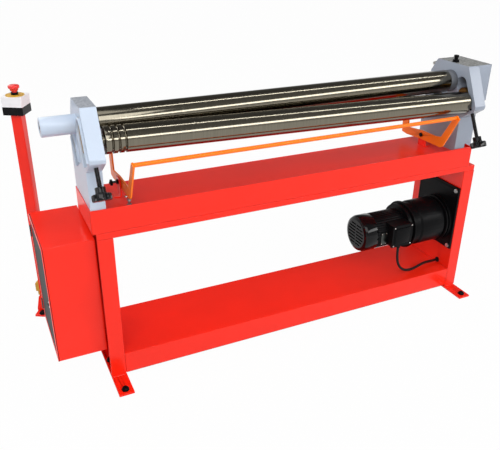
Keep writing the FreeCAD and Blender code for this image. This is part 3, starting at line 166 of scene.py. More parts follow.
def plastic(name, colour, roughness, texture=500.0, strength=0.12, gloss=0.5, coat=0.0):
    """Moulded plastic or rubber with a fine spark-eroded texture and handling marks."""
    made = Nodes(name)
    wear = made.spread(made.noise(22.0, 5.0), 0.0, 1.0, 0.5, 0.8)
    made.link(made.blend(wear, colour, tuple(part * 0.85 + 0.004 for part in colour)),
              made.shader.inputs["Base Color"])
    made.link(made.spread(made.noise(80.0, 3.0), roughness * 0.85, roughness * 1.2),
              made.shader.inputs["Roughness"])
    made.shader.inputs["Specular IOR Level"].default_value = gloss
    made.shader.inputs["Coat Weight"].default_value = coat
    made.shader.inputs["Coat Roughness"].default_value = 0.05
    made.bump(made.noise(texture, 2.0), strength, 0.0002)
    return made.material


RED = (0.95, 0.018, 0.004)
MATERIALS = {
    "frame_paint": paint("grey_enamel", (0.53, 0.615, 0.74), 0.38, coat=0.25, grain=0.30),
    "crown_paint": dark_mottled_top("crown_enamel", (0.51, 0.59, 0.71), 0.38,
                            dark=(0.22, 0.24, 0.28), light=(0.34, 0.36, 0.40)),
    # darker copy of the grey enamel: painted shade on the right end frame, the gear housing and its cover
    "shaded_paint": dark_mottled_top("shaded_enamel", (0.285, 0.322, 0.39), 0.40,
                             dark=(0.07, 0.075, 0.07), light=(0.26, 0.26, 0.25)),
    "stand_paint": paint("red_enamel", RED, 0.30, coat=0.22, peel=0.10, gloss=0.25),
    "door_paint": paint("dark_enamel", (0.022, 0.018, 0.018), 0.45, peel=0.08, gloss=0.04),
    "bar_paint": paint("orange_enamel", (1.0, 0.185, 0.001), 0.36, coat=0.08, gloss=0.3),
    "roll_steel": metal("roll_steel", (0.20, 0.182, 0.142), 0.12, grain=(60, 1, 1), grain_scale=6.0,
                        strength=0.004, stain=0.0),
    "bright_steel": metal("bright_steel", (0.58, 0.57, 0.55), 0.28),
    "plain_steel": metal("plain_steel", (0.36, 0.36, 0.36), 0.42),
    "dark_steel": metal("dark_steel", (0.06, 0.06, 0.062), 0.22),
    # grey enamel of the upper bearing's boss, made darker than the castings: painted shade
    "shaded_boss_paint": paint("shaded_boss_enamel", (0.11, 0.118, 0.135), 0.45),
    "tag_metal": metal("tag_metal", (0.07, 0.075, 0.07), 0.35),
    "bronze": metal("bronze", (0.42, 0.24, 0.08), 0.38),
    "black_enamel": paint("black_enamel", (0.0035, 0.0035, 0.004), 0.34, peel=0.3, gloss=0.07),
    "cowl_enamel": paint("cowl_enamel", (0.0035, 0.0035, 0.004), 0.12, coat=0.25, peel=0.03,
                         gloss=0.10),
    "black_plastic": plastic("black_plastic", (0.003, 0.003, 0.004), 0.15, strength=0.03, gloss=0.12),
    "knob_plastic": plastic("knob_plastic", (0.003, 0.003, 0.004), 0.09, strength=0.02, gloss=0.25,
                            coat=0.10),
    "black_rubber": plastic("black_rubber", (0.008, 0.008, 0.008), 0.45, gloss=0.15),
    "white_plastic": plastic("white_plastic", (0.84, 0.85, 0.87), 0.38),
    "yellow_plastic": plastic("yellow_plastic", (0.62, 0.36, 0.02), 0.40),
    "red_plastic": plastic("red_plastic", (0.80, 0.035, 0.03), 0.25),
}


# carried-over nodes that show another finish than their slot in the record
FINISH_OF = {
    "blocks_front": "bronze", "trip_stop": "plain_steel", "pedestal_plug": "yellow_plastic",
    "end_frame_left": "crown_paint", "end_frame_right": "shaded_paint", "gear_housing": "shaded_paint",
    "gear_housing_cover": "shaded_paint", "upper_bearing": "shaded_boss_paint", "motor_cowl": "cowl_enamel",
}


# ---------------------------------------------------------------- carried-over nodes

# width in millimetres of the rounding on each node's sharp edges
SOFTENING = {
    "end_frame_left": 2.5, "end_frame_right": 2.5, "gear_housing": 2.5, "gear_housing_cover": 0.8,
    "stand_top": 2.2, "stand_shelf": 2.4, "stand_leg_left": 2.2, "stand_leg_right": 2.2, "leg_cover": 0.6,
    "bed_tray": 2.2, "stand_feet": 1.2, "cabinet_shell": 1.6, "cabinet_door": 0.7, "trip_arms": 1.0,
    "trip_brackets": 1.0, "motor_plate": 1.2, "gearbox": 1.5, "motor_cowl": 0.8, "terminal_box": 1.2,
    "terminal_lid": 1.2, "pedestal_foot": 1.2, "pedestal_post": 1.5, "estop_base": 1.5, "estop_lid": 1.0,
    "pedestal_plug": 1.5, "foot_bolts": 0.6, "pedestal_bolt": 0.6, "release_sleeve": 1.5,
    "lock_screw": 0.6, "screw_rear_left": 0.6, "screw_rear_right": 0.6, "upper_bearing": 0.8,
}


def soften(thing, width):
    """Round the sharp edges of a carried-over node without touching its mesh."""
    thing.modifiers.new("Weld", "WELD").merge_threshold = 0.00002
    bevel = thing.modifiers.new("Bevel", "BEVEL")
    bevel.width = width * MM
    bevel.segments = 2
    bevel.limit_method = "ANGLE"
    bevel.angle_limit = math.radians(38)
    bevel.harden_normals = True


for part in frame["record"]["subparts"]:
    thing = nodes[part["node"]]
    thing.data.materials.clear()
    thing.data.materials.append(MATERIALS[FINISH_OF.get(part["node"], part["material_slot"])])
    if part["node"] in SOFTENING:
        soften(thing, SOFTENING[part["node"]])


# ---------------------------------------------------------------- mesh helpers

def finish_piece(name, mesh, body, slot, smooth=35.0):
    made = bpy.data.meshes.new(name)
    bmesh.ops.recalc_face_normals(mesh, faces=mesh.faces)
    mesh.to_mesh(made)
    mesh.free()
    made.polygons.foreach_set("use_smooth", [True] * len(made.polygons))
    made.set_sharp_from_angle(angle=math.radians(smooth))
    thing = bpy.data.objects.new(name, made)
    bpy.context.scene.collection.objects.link(thing)
    made.materials.append(MATERIALS[slot])
    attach(thing, body)
    return thing


def along(origin, direction):
    """Matrix that puts local Z on a direction through the origin."""
    turn = Vector(direction).normalized().to_track_quat("Z", "Y").to_matrix().to_4x4()
    return Matrix.Translation(Vector(origin)) @ turn


def ring(mesh, place, count, run, radius, squeeze=None):
    """Circle of points round local Z; squeeze may vary its radius."""
    points = []
    for step in range(count):
        angle = 2 * math.pi * step / count
        reach = radius * (squeeze(angle, run, radius) if squeeze else 1.0)
        points.append(mesh.verts.new(place @ Vector((reach * math.cos(angle), reach * math.sin(angle), run))))
    return points


def bridge(mesh, first, second):
    """Faces between two rings with as many points each."""
    for step in range(len(first)):
        following = (step + 1) % len(first)
        mesh.faces.new((first[step], first[following], second[following], second[step]))


def skin(mesh, rings):
    """Closed body over a row of rings, with a cap at each end."""
    for first, second in zip(rings, rings[1:]):
        bridge(mesh, first, second)
    mesh.faces.new(list(reversed(rings[0])))
    mesh.faces.new(rings[-1])


def lathe_rings(mesh, profile, count, place, squeeze=None):
    """Body turned from a profile of (run, radius) pairs."""
    skin(mesh, [ring(mesh, place, count, run, radius, squeeze) for run, radius in profile])


def lathe(name, profile, place, body, slot, count=96, squeeze=None, smooth=35.0):
    mesh = bmesh.new()
    lathe_rings(mesh, profile, count, place, squeeze)
    return finish_piece(name, mesh, body, slot, smooth)


# ---------------------------------------------------------------- rolls

ROLL_RADIUS = 42.5 * MM
ROLL_EDGE = 2.0 * MM
ROLL_SEGMENTS = 128
GROOVES = [(17.0 + 20.0 * turn) * MM for turn in range(3)]
GROOVE_WIDTH = 8.0 * MM
GROOVE_DEPTH = 4.5 * MM
GROOVE_LIP = 0.4 * MM
GROOVE_STEPS = 8
UPPER_FACE_START = 41.0 * MM
UPPER_FACE = 1356.0 * MM
UPPER_JOURNAL = 22.0 * MM
UPPER_NECK = 28.0 * MM
NECK_RUN = 1.5 * MM
LOWER_ENDS = (-22.5 * MM, 1471.5 * MM)
LOWER_FACE_START = 36.5 * MM
LOWER_FACE = 1383.0 * MM
LOWER_JOURNAL = 16.0 * MM


def roll_profile(start, end, journal_start, journal_end, journal, grooved, neck=None):
    """Ground face with rolled edges, turned journals and, at its left end, three round grooves."""
    edge = ROLL_EDGE
    radius = ROLL_RADIUS
    profile = [(journal_start, journal - edge), (journal_start + edge, journal), (start, journal),
               (start, radius - edge)]
    profile += [(start + edge * (1 - math.cos(turn)), radius - edge + edge * math.sin(turn))
                for turn in (math.pi / 6, math.pi / 3, math.pi / 2)]
    if grooved:
        for first in GROOVES:
            profile.append((start + first - GROOVE_LIP, radius))
            for step in range(GROOVE_STEPS + 1):
                share = step / GROOVE_STEPS
                sag = GROOVE_DEPTH * math.sin(math.pi * share)
                profile.append((start + first + GROOVE_WIDTH * share, radius - sag))
            profile.append((start + first + (GROOVE_WIDTH + GROOVE_LIP), radius))
    profile += [(end - edge * (1 - math.cos(turn)), radius - edge + edge * math.sin(turn))
                for turn in (math.pi / 2, math.pi / 3, math.pi / 6)]
    profile += [(end, radius - edge), (end, neck or journal)]
    if neck:
        profile += [(end + NECK_RUN, neck), (end + NECK_RUN, journal)]
    profile += [(journal_end, journal)]
    return profile


def make_rolls():
    low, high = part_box("roll_upper")
    axis_y, axis_z = (low.y + high.y) / 2, (low.z + high.z) / 2
    start = low.x + UPPER_FACE_START
    profile = roll_profile(start, start + UPPER_FACE, low.x, high.x, UPPER_JOURNAL, False, UPPER_NECK)
    place = along((0, axis_y, axis_z), (1, 0, 0))
    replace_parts(lathe("upper_roll_ground", profile, place, "upper_roll", "roll_steel", ROLL_SEGMENTS),
                "roll_upper")
    for label, grooved in (("front", True), ("rear", False)):
        joint = JOINTS[f"{label}_roll_turn"]
        profile = roll_profile(LOWER_FACE_START, LOWER_FACE_START + LOWER_FACE, *LOWER_ENDS, LOWER_JOURNAL,
                               grooved)
        place = along(joint["pos_m"], joint["axis"])
        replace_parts(lathe(f"{label}_roll_ground", profile, place, f"{label}_roll", "roll_steel",
                          ROLL_SEGMENTS), f"roll_{label}")


make_rolls()


# ---------------------------------------------------------------- screws and knobs

SCREW_RADIUS = 7.5 * MM
SCREW_PITCH = 2.0 * MM
STEPS_PER_PITCH = 6
THREAD_DEPTH = 0.16
KNOB_LOBES = 7
KNOB_RIM_FROM = 20 * MM
HUB_FLUTE = 0.10
RIM_SCALLOP = 0.25
KNOB_HEIGHT = 43 * MM
KNOB_PROFILE = [
    (0, 24), (0.8, 27.5), (2.5, 29.6), (4, 30), (18, 30), (20.5, 29.2), (22, 27), (22.8, 23), (23.2, 18),
    (25.5, 16.6), (28, 16), (41, 16), (42.4, 15.3), (43, 13.5),
]


def rod_span(node, axis, radius):
    """Start point and length of a round rod, from its box and its direction."""
    low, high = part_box(node)
    axis = Vector(axis).normalized()
    steep = abs(axis.z)
    length = (high.z - low.z - 2 * radius * math.sqrt(1 - steep * steep)) / steep
    return (low + high) / 2 - axis * length / 2, length


def thread(angle, run, radius):
    """Share of the full radius on a helical V thread."""
    phase = (angle / (2 * math.pi) + run / SCREW_PITCH) % 1.0
    return 1.0 - THREAD_DEPTH * (1.0 - abs(2.0 * phase - 1.0))


def lobes(angle, run, radius):
    """Share of the full radius round a star knob; its hub is only fluted."""
    dip = max(0.0, math.cos(KNOB_LOBES * angle))
    if radius < KNOB_RIM_FROM:
        return 1.0 - HUB_FLUTE * dip
    return 1.0 - RIM_SCALLOP * dip ** 1.3


def make_front_screw(side):
    joint = JOINTS[f"front_screw_{side}_turn"]
    start, length = rod_span(f"screw_front_{side}", joint["axis"], SCREW_RADIUS)
    profile = [(0, SCREW_RADIUS)]
    steps = int(length / SCREW_PITCH * STEPS_PER_PITCH)
    profile += [(length * step / steps, SCREW_RADIUS) for step in range(1, steps)]
    profile += [(length, SCREW_RADIUS)]
    body = f"front_screw_{side}"
    screw = lathe(f"front_thread_{side}", profile, along(start, joint["axis"]), body, "dark_steel", 24,
                  thread, 70)
    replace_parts(screw, f"screw_front_{side}")
    profile = [(run * MM, radius * MM) for run, radius in KNOB_PROFILE]
    underside = Vector(start) - Vector(joint["axis"]).normalized() * KNOB_HEIGHT
    star = lathe(f"star_knob_{side}", profile, along(underside, joint["axis"]), body, "knob_plastic", 140,
                 lobes, 50)
    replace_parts(star, f"knob_front_{side}")


for side in ("left", "right"):
    make_front_screw(side)


# ---------------------------------------------------------------- motor cable

CABLE_DIAMETER = 10.8 * MM
GLAND_DEPTH = 7.5 * MM
GROMMET_MOUTH = 2 * MM
CABLE_LEAD = 46 * MM
CABLE_TAIL = 12 * MM
# shares of the way from the gland to the grommet: along the machine, back and down
CABLE_BENDS = [(0, 0, 0.28), (0.03, 0.03, 0.6), (0.14, 0.12, 0.86), (0.32, 0.3, 0.985),
               (0.5, 0.55, 0.99), (0.68, 0.82, 0.965)]


def make_cable():
    """Smooth line from the gland to the grommet, on the bends of its solid."""
    low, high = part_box("cable_gland")
    origin = Vector(((low.x + high.x) / 2, (low.y + high.y) / 2, high.z - GLAND_DEPTH))
    low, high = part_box("cable_grommet")
    target = Vector((low.x + GROMMET_MOUTH, (low.y + high.y) / 2, (low.z + high.z) / 2))
    way = target - origin
    points = [origin]
    points += [origin + Vector((way.x * run, way.y * back, way.z * down)) for run, back, down in CABLE_BENDS]
    points += [target - Vector((CABLE_LEAD, 0, 0)), target + Vector((CABLE_TAIL, 0, 0))]
    curve = bpy.data.curves.new("motor_cable_line", "CURVE")
    curve.dimensions = "3D"
    spline = curve.splines.new("NURBS")
    spline.points.add(len(points) - 1)
    for point, place in zip(spline.points, points):
        point.co = (*place, 1.0)
    spline.order_u = 3
    spline.use_endpoint_u = True
    curve.bevel_depth = CABLE_DIAMETER / 2
    curve.bevel_resolution = 6
    curve.resolution_u = 16
    curve.use_fill_caps = True
    curve.materials.append(MATERIALS["black_rubber"])
    cable = bpy.data.objects.new("motor_cable_sheath", curve)
    bpy.context.scene.collection.objects.link(cable)
    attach(cable, "machine")
    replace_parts(cable, "motor_cable")


make_cable()


# ---------------------------------------------------------------- stop button

# shares of the button's height and radius
STOP_OUTLINE = [
    (0, 0.42), (0.63, 0.42), (0.64, 0.66), (0.67, 0.72), (0.75, 0.77), (0.79, 0.88), (0.81, 0.98),
    (0.83, 1.0), (0.93, 1.0), (0.96, 0.95), (0.985, 0.82), (1.0, 0.55),
]


def make_stop_button():
    """Mushroom head with a thick rim, a waisted skirt and a short stem."""
    low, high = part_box("estop_button")
    radius = (high.x - low.x) / 2
    height = high.z - low.z
    profile = [(run * height, share * radius) for run, share in STOP_OUTLINE]
    place = along(((low.x + high.x) / 2, (low.y + high.y) / 2, low.z), (0, 0, 1))
    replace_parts(lathe("stop_button_head", profile, place, "estop_button", "red_plastic", 96), "estop_button")


make_stop_button()


# ---------------------------------------------------------------- trims of the castings

CASTING_TURN = math.radians(28)
SLOT_BEAD = 4.0 * MM
LIP_REACH = 32.0 * MM
LIP_STATION = 1.2 * MM
LIP_FOOT = 2 * MM
LIP_STEPS = 16
# name, line across the castings, lower and upper end along the slot
SLOTS = (("front", -53.8 * MM, -160.1 * MM, -50.1 * MM), ("rear", -197.8 * MM, -132.1 * MM, -48.1 * MM))


def tube(name, points, radius, body, slot, sides=10, smooth=50.0):
    """Round bead along a line of points."""
    mesh = bmesh.new()
    rings = []
    for index, point in enumerate(points):
        way = Vector(points[min(index + 1, len(points) - 1)]) - Vector(points[max(index - 1, 0)])
        rings.append(ring(mesh, along(point, way), sides, 0, radius))
    skin(mesh, rings)
    return finish_piece(name, mesh, body, slot, smooth)


def slant_point(station, line, along_slot):
    """Point of the slanted slots' own plane, in the part's frame."""
    sine, cosine = math.sin(CASTING_TURN), math.cos(CASTING_TURN)
    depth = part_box("stand_leg_left")[0].y
    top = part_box("end_frame_left")[1].z
    return Vector((station, depth + sine * along_slot - cosine * line,
                   top + cosine * along_slot + sine * line))


def make_slot_lips():
    """Rounded crowns on the lips up both sides and over the arch of each slot."""
    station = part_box("end_frame_left")[0].x + LIP_STATION
    reach = LIP_REACH
    arch = [step * math.pi / LIP_STEPS for step in range(LIP_STEPS + 1)]
    for label, line, bottom, top in SLOTS:
        flat = [(-reach, bottom + LIP_FOOT), (-reach, (bottom + top) / 2)]
        flat += [(-reach * math.cos(turn), top + reach * math.sin(turn)) for turn in arch]
        flat += [(reach, (bottom + top) / 2), (reach, bottom + LIP_FOOT)]
        points = [slant_point(station, line + across, up) for across, up in flat]
        tube(f"{label}_slot_lip", points, SLOT_BEAD, "machine", "frame_paint")


make_slot_lips()


SLEEVE_SEGMENTS = 72
# run in millimetres and share of the sleeve's radius
SLEEVE_RIM = [(0.6, 0.62), (-1.4, 0.64), (-2.2, 0.70), (-2.2, 0.86), (-1.6, 0.94), (0.6, 0.97)]


def make_sleeve_end():
    """Turned rim on the outer end of the release sleeve, with a dark disc inside it as painted shade of the
    recess.
    """
    low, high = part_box("release_sleeve")
    radius = (high.z - low.z) / 2
    place = along((low.x, (low.y + high.y) / 2, (low.z + high.z) / 2), (1, 0, 0))
    mesh = bmesh.new()
    rings = [ring(mesh, place, SLEEVE_SEGMENTS, run * MM, share * radius) for run, share in SLEEVE_RIM]
    for first, second in zip(rings, rings[1:] + rings[:1]):
        bridge(mesh, first, second)
    finish_piece("sleeve_rim", mesh, "release_sleeve", "frame_paint", 50)
    # dark disc inside the rim: painted shade of the recess
    disc = [(-0.9 * MM, 0.60 * radius), (0.5 * MM, 0.61 * radius)]
    lathe("sleeve_recess_shade", disc, place, "release_sleeve", "dark_steel", SLEEVE_SEGMENTS)
    centre = [(-1.8 * MM, 3.2 * MM), (-1.5 * MM, 4.4 * MM), (0.5 * MM, 4.4 * MM)]
    lathe("sleeve_centre", centre, place, "release_sleeve", "black_enamel", 32)


make_sleeve_end()


# shares of the head's radius: run and reach
SCREW_OUTLINE = [
    (-0.5, 0.98), (0.3, 1.0), (0.55, 0.94), (0.72, 0.80), (0.80, 0.55), (0.80, 0.50), (0.35, 0.47),
]


def screw_head(name, centre, direction, radius, body, slot):
    """Domed head with the rim of a round socket."""
    profile = [(run * radius, share * radius) for run, share in SCREW_OUTLINE]
    return lathe(name, profile, along(centre, direction), body, slot, 36)


HOUSING_COLUMNS = (50 * MM, 170 * MM)
HOUSING_FOOT_ROW = 14 * MM
HOUSING_TOP_ROW = 40 * MM
HOUSING_SCREW = 5 * MM


def make_housing_screws():
    low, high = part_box("gear_housing_cover")
    rows = (low.z + HOUSING_FOOT_ROW, (low.z + high.z) / 2, high.z - HOUSING_TOP_ROW)
    places = [(high.y - column, up) for column in HOUSING_COLUMNS for up in rows]
    for index, (across, up) in enumerate(places):
        screw_head(f"housing_screw_{index + 1}", (high.x, across, up), (1, 0, 0), HOUSING_SCREW, "machine",
                   "dark_steel")


make_housing_screws()


# ---------------------------------------------------------------- trims of the trip bar

BOLT_TAIL = 24 * MM
BOLT_RADIUS = 4.2 * MM
NUT_HALF = 7.5 * MM
NUT_RUN = (3 * MM, 11 * MM)
NUT_TURN = math.radians(12)
FOOT_SCREW = (15 * MM, 66 * MM)
CORNERS = ((1, 1), (-1, 1), (-1, -1), (1, -1))


def make_pivot_nut():
    """Tail of the left pivot bolt with a square lock nut, and a screw in the bracket's foot."""
    low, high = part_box("trip_pins")
    across, up = (low.y + high.y) / 2, (low.z + high.z) / 2
    tail = low.x - BOLT_TAIL
    rod = [(0, 3.6 * MM), (0.8 * MM, BOLT_RADIUS), (BOLT_TAIL + 2 * MM, BOLT_RADIUS)]
    lathe("pivot_bolt_tail", rod, along((tail, across, up), (1, 0, 0)), "machine", "dark_steel", 32)
    mesh = bmesh.new()
    start, end = (tail + run for run in NUT_RUN)
    rings = []
    for station, share in ((start, 0.88), (start + 1.2 * MM, 1.0), (end, 1.0)):
        corners = []
        for a, b in CORNERS:
            y = NUT_HALF * share * (a * math.cos(NUT_TURN) - b * math.sin(NUT_TURN))
            z = NUT_HALF * share * (a * math.sin(NUT_TURN) + b * math.cos(NUT_TURN))
            corners.append(mesh.verts.new((station, across + y, up + z)))
        rings.append(corners)
    skin(mesh, rings)
    finish_piece("pivot_lock_nut", mesh, "machine", "black_enamel", 30)
    low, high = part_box("trip_stop")
    screw_head("bracket_foot_screw", (low.x + FOOT_SCREW[0], high.y + FOOT_SCREW[1], low.z), (0, 0, 1),
               5 * MM, "machine", "bright_steel")


make_pivot_nut()


# ---------------------------------------------------------------- trims of the motor

def slab(name, low, high, edge, body, slot):
    """Plate with chamfered edges all round."""
    mesh = bmesh.new()
    bmesh.ops.create_cube(mesh, size=1.0)
    size = [high[axis] - low[axis] for axis in range(3)]
    middle = [(high[axis] + low[axis]) / 2 for axis in range(3)]
    for vert in mesh.verts:
        vert.co = Vector([middle[axis] + vert.co[axis] * size[axis] for axis in range(3)])
    bmesh.ops.bevel(mesh, geom=list(mesh.edges), offset=edge, segments=2, profile=0.5, affect="EDGES")
    return finish_piece(name, mesh, body, slot, 50)


MOTOR_SHELL = 75.0 * MM
MOTOR_RIBS = 44
RIB_DEPTH = 0.022
BARE_END = 20 * MM
PLATE_LENGTH = 27 * MM
PLATE_BELOW = 32 * MM
PLATE_ABOVE = 20 * MM
PLATE_RIVETS = ((3, -28), (24, -28), (3, 16), (24, 16))
LID_SCREWS = ((7, 7), (91, 7), (7, 89), (91, 89))
LID_MARGIN = 14 * MM
BAND_STATIONS = (0.02, 0.86)
BAND_PROUD = 1.2 * MM


def ribs(angle, run, radius):
    """Share of the full radius round the ribbed body of the motor."""
    return 1.0 - RIB_DEPTH * max(0.0, math.cos(MOTOR_RIBS * angle))


def make_rib_shell():
    low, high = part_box("motor_body")
    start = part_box("motor_cowl")[1].x
    end = high.x - BARE_END - start
    place = along((start, (low.y + high.y) / 2, (low.z + high.z) / 2), (1, 0, 0))
    shell = MOTOR_SHELL
    profile = [(0.5 * MM, shell - 6 * MM), (0.5 * MM, shell - 2 * MM), (3 * MM, shell), (end - 3 * MM, shell),
               (end, shell - 2 * MM), (end, shell - 6 * MM)]
    lathe("motor_rib_shell", profile, place, "machine", "black_enamel", MOTOR_RIBS * 6, ribs, 40)


def make_blank_plate():
    low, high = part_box("motor_body")
    front = (low.y + high.y) / 2 - MOTOR_SHELL - 1.4 * MM
    level = (low.z + high.z) / 2
    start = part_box("terminal_lid")[0].x - 31 * MM
    slab("motor_blank_plate", (start, front, level - PLATE_BELOW),
         (start + PLATE_LENGTH, front + 8 * MM, level + PLATE_ABOVE), 0.5 * MM, "machine", "tag_metal")
    for index, (x, z) in enumerate(PLATE_RIVETS):
        screw_head(f"plate_rivet_{index + 1}", (start + x * MM, front, level + z * MM), (0, -1, 0),
                   1.8 * MM, "machine", "bright_steel")


def make_terminal_trims():
    low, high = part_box("terminal_lid")
    for index, (x, z) in enumerate(LID_SCREWS):
        screw_head(f"terminal_screw_{index + 1}", (low.x + x * MM, low.y, low.z + z * MM), (0, -1, 0),
                   3.2 * MM, "machine", "bright_steel")
    slab("terminal_lid_panel", (low.x + LID_MARGIN, low.y - 1.6 * MM, low.z + LID_MARGIN),
         (high.x - LID_MARGIN, low.y + 1 * MM, high.z - LID_MARGIN), 0.7 * MM, "machine", "black_enamel")


def make_gearbox_bands():
    low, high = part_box("gearbox")
    centre = ((low.y + high.y) / 2, (low.z + high.z) / 2)
    radius = (high.z - low.z) / 2
    band = [(0, radius - 6 * MM), (0, radius - 1 * MM), (1.5 * MM, radius + BAND_PROUD),
            (6 * MM, radius + BAND_PROUD), (7.5 * MM, radius - 1 * MM), (7.5 * MM, radius - 6 * MM)]
    for index, station in enumerate(BAND_STATIONS):
        place = along((low.x + station * (high.x - low.x), *centre), (1, 0, 0))
        lathe(f"gearbox_band_{index + 1}", band, place, "machine", "black_enamel", 96)


make_rib_shell()
make_blank_plate()
make_terminal_trims()
make_gearbox_bands()


# ---------------------------------------------------------------- trims of the cabinet and the stand

DOOR_BAND = 13 * MM
DOOR_PROUD = 1.8 * MM
HINGE_SHARES = (0.15, 0.85)
# profiles in millimetres
HINGE_PROFILE = [
    (-22, 3.0), (-21, 4.0), (-8, 4.0), (-7.6, 3.6), (-7.2, 4.0), (7.2, 4.0), (7.6, 3.6), (8, 4.0),
    (21, 4.0), (22, 3.0),
]
LOCK_PROFILE = [(-1, 11), (1.5, 11), (2.5, 10), (2.5, 6.5), (1.8, 6.2)]
LOCK_INSET = 26 * MM


def make_door_frame():
    """Folded edge round the door."""
    low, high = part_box("cabinet_door")
    band = DOOR_BAND
    bars = {"top": (low.y, high.y, high.z - band, high.z), "foot": (low.y, high.y, low.z, low.z + band),
            "front": (low.y, low.y + band, low.z + band, high.z - band),
            "rear": (high.y - band, high.y, low.z + band, high.z - band)}
    for label, (near, far, bottom, top) in bars.items():
        slab(f"door_frame_{label}", (low.x - DOOR_PROUD, near, bottom), (low.x + 0.5 * MM, far, top),
             0.6 * MM, "cabinet_door", "stand_paint")


def make_door_fittings():
    """Hinge knuckles and a quarter-turn lock."""
    low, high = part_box("cabinet_door")
    profile = [(run * MM, radius * MM) for run, radius in HINGE_PROFILE]
    for index, share in enumerate(HINGE_SHARES):
        middle = low.z + share * (high.z - low.z)
        lathe(f"door_hinge_{index + 1}", profile,
              along((low.x - 2.5 * MM, high.y - 4 * MM, middle), (0, 0, 1)), "cabinet_door", "dark_steel", 28)
    profile = [(run * MM, radius * MM) for run, radius in LOCK_PROFILE]
    x, y, z = low.x, low.y + LOCK_INSET, (low.z + high.z) / 2
    lathe("door_lock", profile, along((x, y, z), (-1, 0, 0)), "cabinet_door", "bright_steel", 48)
    slab("door_lock_key", (x - 5.5 * MM, y - 1.6 * MM, z - 5 * MM), (x - 1 * MM, y + 1.6 * MM, z + 5 * MM),
         0.5 * MM, "cabinet_door", "black_enamel")


make_door_frame()
make_door_fittings()


WELD_RIPPLE = 1.6 * MM


def weld(name, start, end, radius):
    """Rippled bead of a fillet weld, painted over."""
    start, end = Vector(start), Vector(end)
    way = end - start
    steps = max(8, int(way.length / WELD_RIPPLE))
    mesh = bmesh.new()
    place = along(start, way)
    profile = []
    for step in range(steps + 1):
        swell = 1.0 + 0.12 * math.sin(step * math.pi / 1.5) + 0.06 * math.sin(step * 1.7)
        taper = min(1.0, (step + 0.6) / 3, (steps - step + 0.6) / 3)
        profile.append((way.length * step / steps, radius * swell * taper))
    lathe_rings(mesh, profile, 12, place)
    return finish_piece(name, mesh, "machine", "stand_paint", 60)


WELD_BEAD = 3.2 * MM
WELD_INSET = 2 * MM


def make_welds():
    """Beads where the legs stand on their foot bars."""
    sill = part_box("stand_feet")[1].z
    for side in ("left", "right"):
        low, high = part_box(f"stand_leg_{side}")
        start, end = low.x + WELD_INSET, high.x - WELD_INSET
        weld(f"foot_weld_{side}_front", (start, low.y, sill), (end, low.y, sill), WELD_BEAD)
        weld(f"foot_weld_{side}_rear", (start, high.y, sill), (end, high.y, sill), WELD_BEAD)


make_welds()


# ---------------------------------------------------------------- floor, light, camera

FLOOR_RADIUS = 14.0
FLOOR_DROP = 0.5 * MM
FLOOR_GREY = 0.66
FLOOR_GLOW = 0.98


def floor_material():
    """Plain pale floor that camera, glossy and transmission rays see as nearly white."""
    made = Nodes("pale_floor")
    made.shader.inputs["Base Color"].default_value = (FLOOR_GREY, FLOOR_GREY, FLOOR_GREY, 1)
    made.shader.inputs["Roughness"].default_value = 0.9
    glow = made.add("ShaderNodeEmission")
    glow.inputs["Strength"].default_value = 1.0
    path = made.add("ShaderNodeLightPath")
    shown = made.add("ShaderNodeMath", operation="MAXIMUM")
    made.link(path.outputs["Is Camera Ray"], shown.inputs[0])
    made.link(path.outputs["Is Glossy Ray"], shown.inputs[1])
    clear = made.add("ShaderNodeMath", operation="MAXIMUM")
    made.link(shown.outputs[0], clear.inputs[0])
    made.link(path.outputs["Is Transmission Ray"], clear.inputs[1])
    share = made.add("ShaderNodeMath", operation="MULTIPLY")
    made.link(clear.outputs[0], share.inputs[0])
    share.inputs[1].default_value = FLOOR_GLOW
    mix = made.add("ShaderNodeMixShader")
    made.link(share.outputs[0], mix.inputs[0])
    made.link(made.shader.outputs[0], mix.inputs[1])
    made.link(glow.outputs[0], mix.inputs[2])
    output = made.tree.nodes["Material Output"]
    made.link(mix.outputs[0], output.inputs["Surface"])
    return made.material


def make_floor():
    mesh = bmesh.new()
    bmesh.ops.create_circle(mesh, cap_ends=True, radius=FLOOR_RADIUS, segments=96)
    made = bpy.data.meshes.new("floor")
    mesh.to_mesh(made)
    mesh.free()
    made.materials.append(floor_material())
    floor = bpy.data.objects.new("floor", made)
    floor.location.z = -FLOOR_DROP
    bpy.context.scene.collection.objects.link(floor)


def make_world():
    """Bright low down, mid grey overhead in front, and dim above the back."""
    world = bpy.data.worlds.new("studio")
    bpy.context.scene.world = world
    world.use_nodes = True
    tree = world.node_tree
    background = tree.nodes["Background"]
    direction = tree.nodes.new("ShaderNodeTexCoord").outputs["Generated"]
    split = tree.nodes.new("ShaderNodeSeparateXYZ")
    tree.links.new(direction, split.inputs[0])

    def ramp(source, steps):
        made = tree.nodes.new("ShaderNodeValToRGB")
        tree.links.new(source, made.inputs[0])
        while len(made.color_ramp.elements) < len(steps):
            made.color_ramp.elements.new(0.5)
        for element, (place, level) in zip(made.color_ramp.elements, steps):
            element.position = place
            element.color = (level, level, level, 1)
        return made.outputs["Color"]

    def mix(factor, first, second):
        made = tree.nodes.new("ShaderNodeMix")
        made.data_type = "RGBA"
        tree.links.new(factor, made.inputs["Factor"])
        sockets = [item for item in made.inputs if item.type == "RGBA"]
        for socket, value in zip(sockets, (first, second)):
            if isinstance(value, tuple):
                socket.default_value = value
            else:
                tree.links.new(value, socket)
        return next(item for item in made.outputs if item.type == "RGBA")

    front = ramp(split.outputs["Z"], ((0.0, 0.90), (0.10, 0.55), (0.40, 0.30), (1.0, 0.22)))
    rear = ramp(split.outputs["Z"], ((0.0, 0.95), (0.12, 0.75), (0.35, 0.16), (1.0, 0.10)))
    side = ramp(split.outputs["Y"], ((0.0, 0.0), (0.02, 0.0), (0.30, 1.0), (1.0, 1.0)))
    sky = mix(side, front, rear)
    seen = tree.nodes.new("ShaderNodeLightPath").outputs["Is Camera Ray"]
    tree.links.new(mix(seen, sky, (1.0, 1.0, 1.0, 1.0)), background.inputs["Color"])


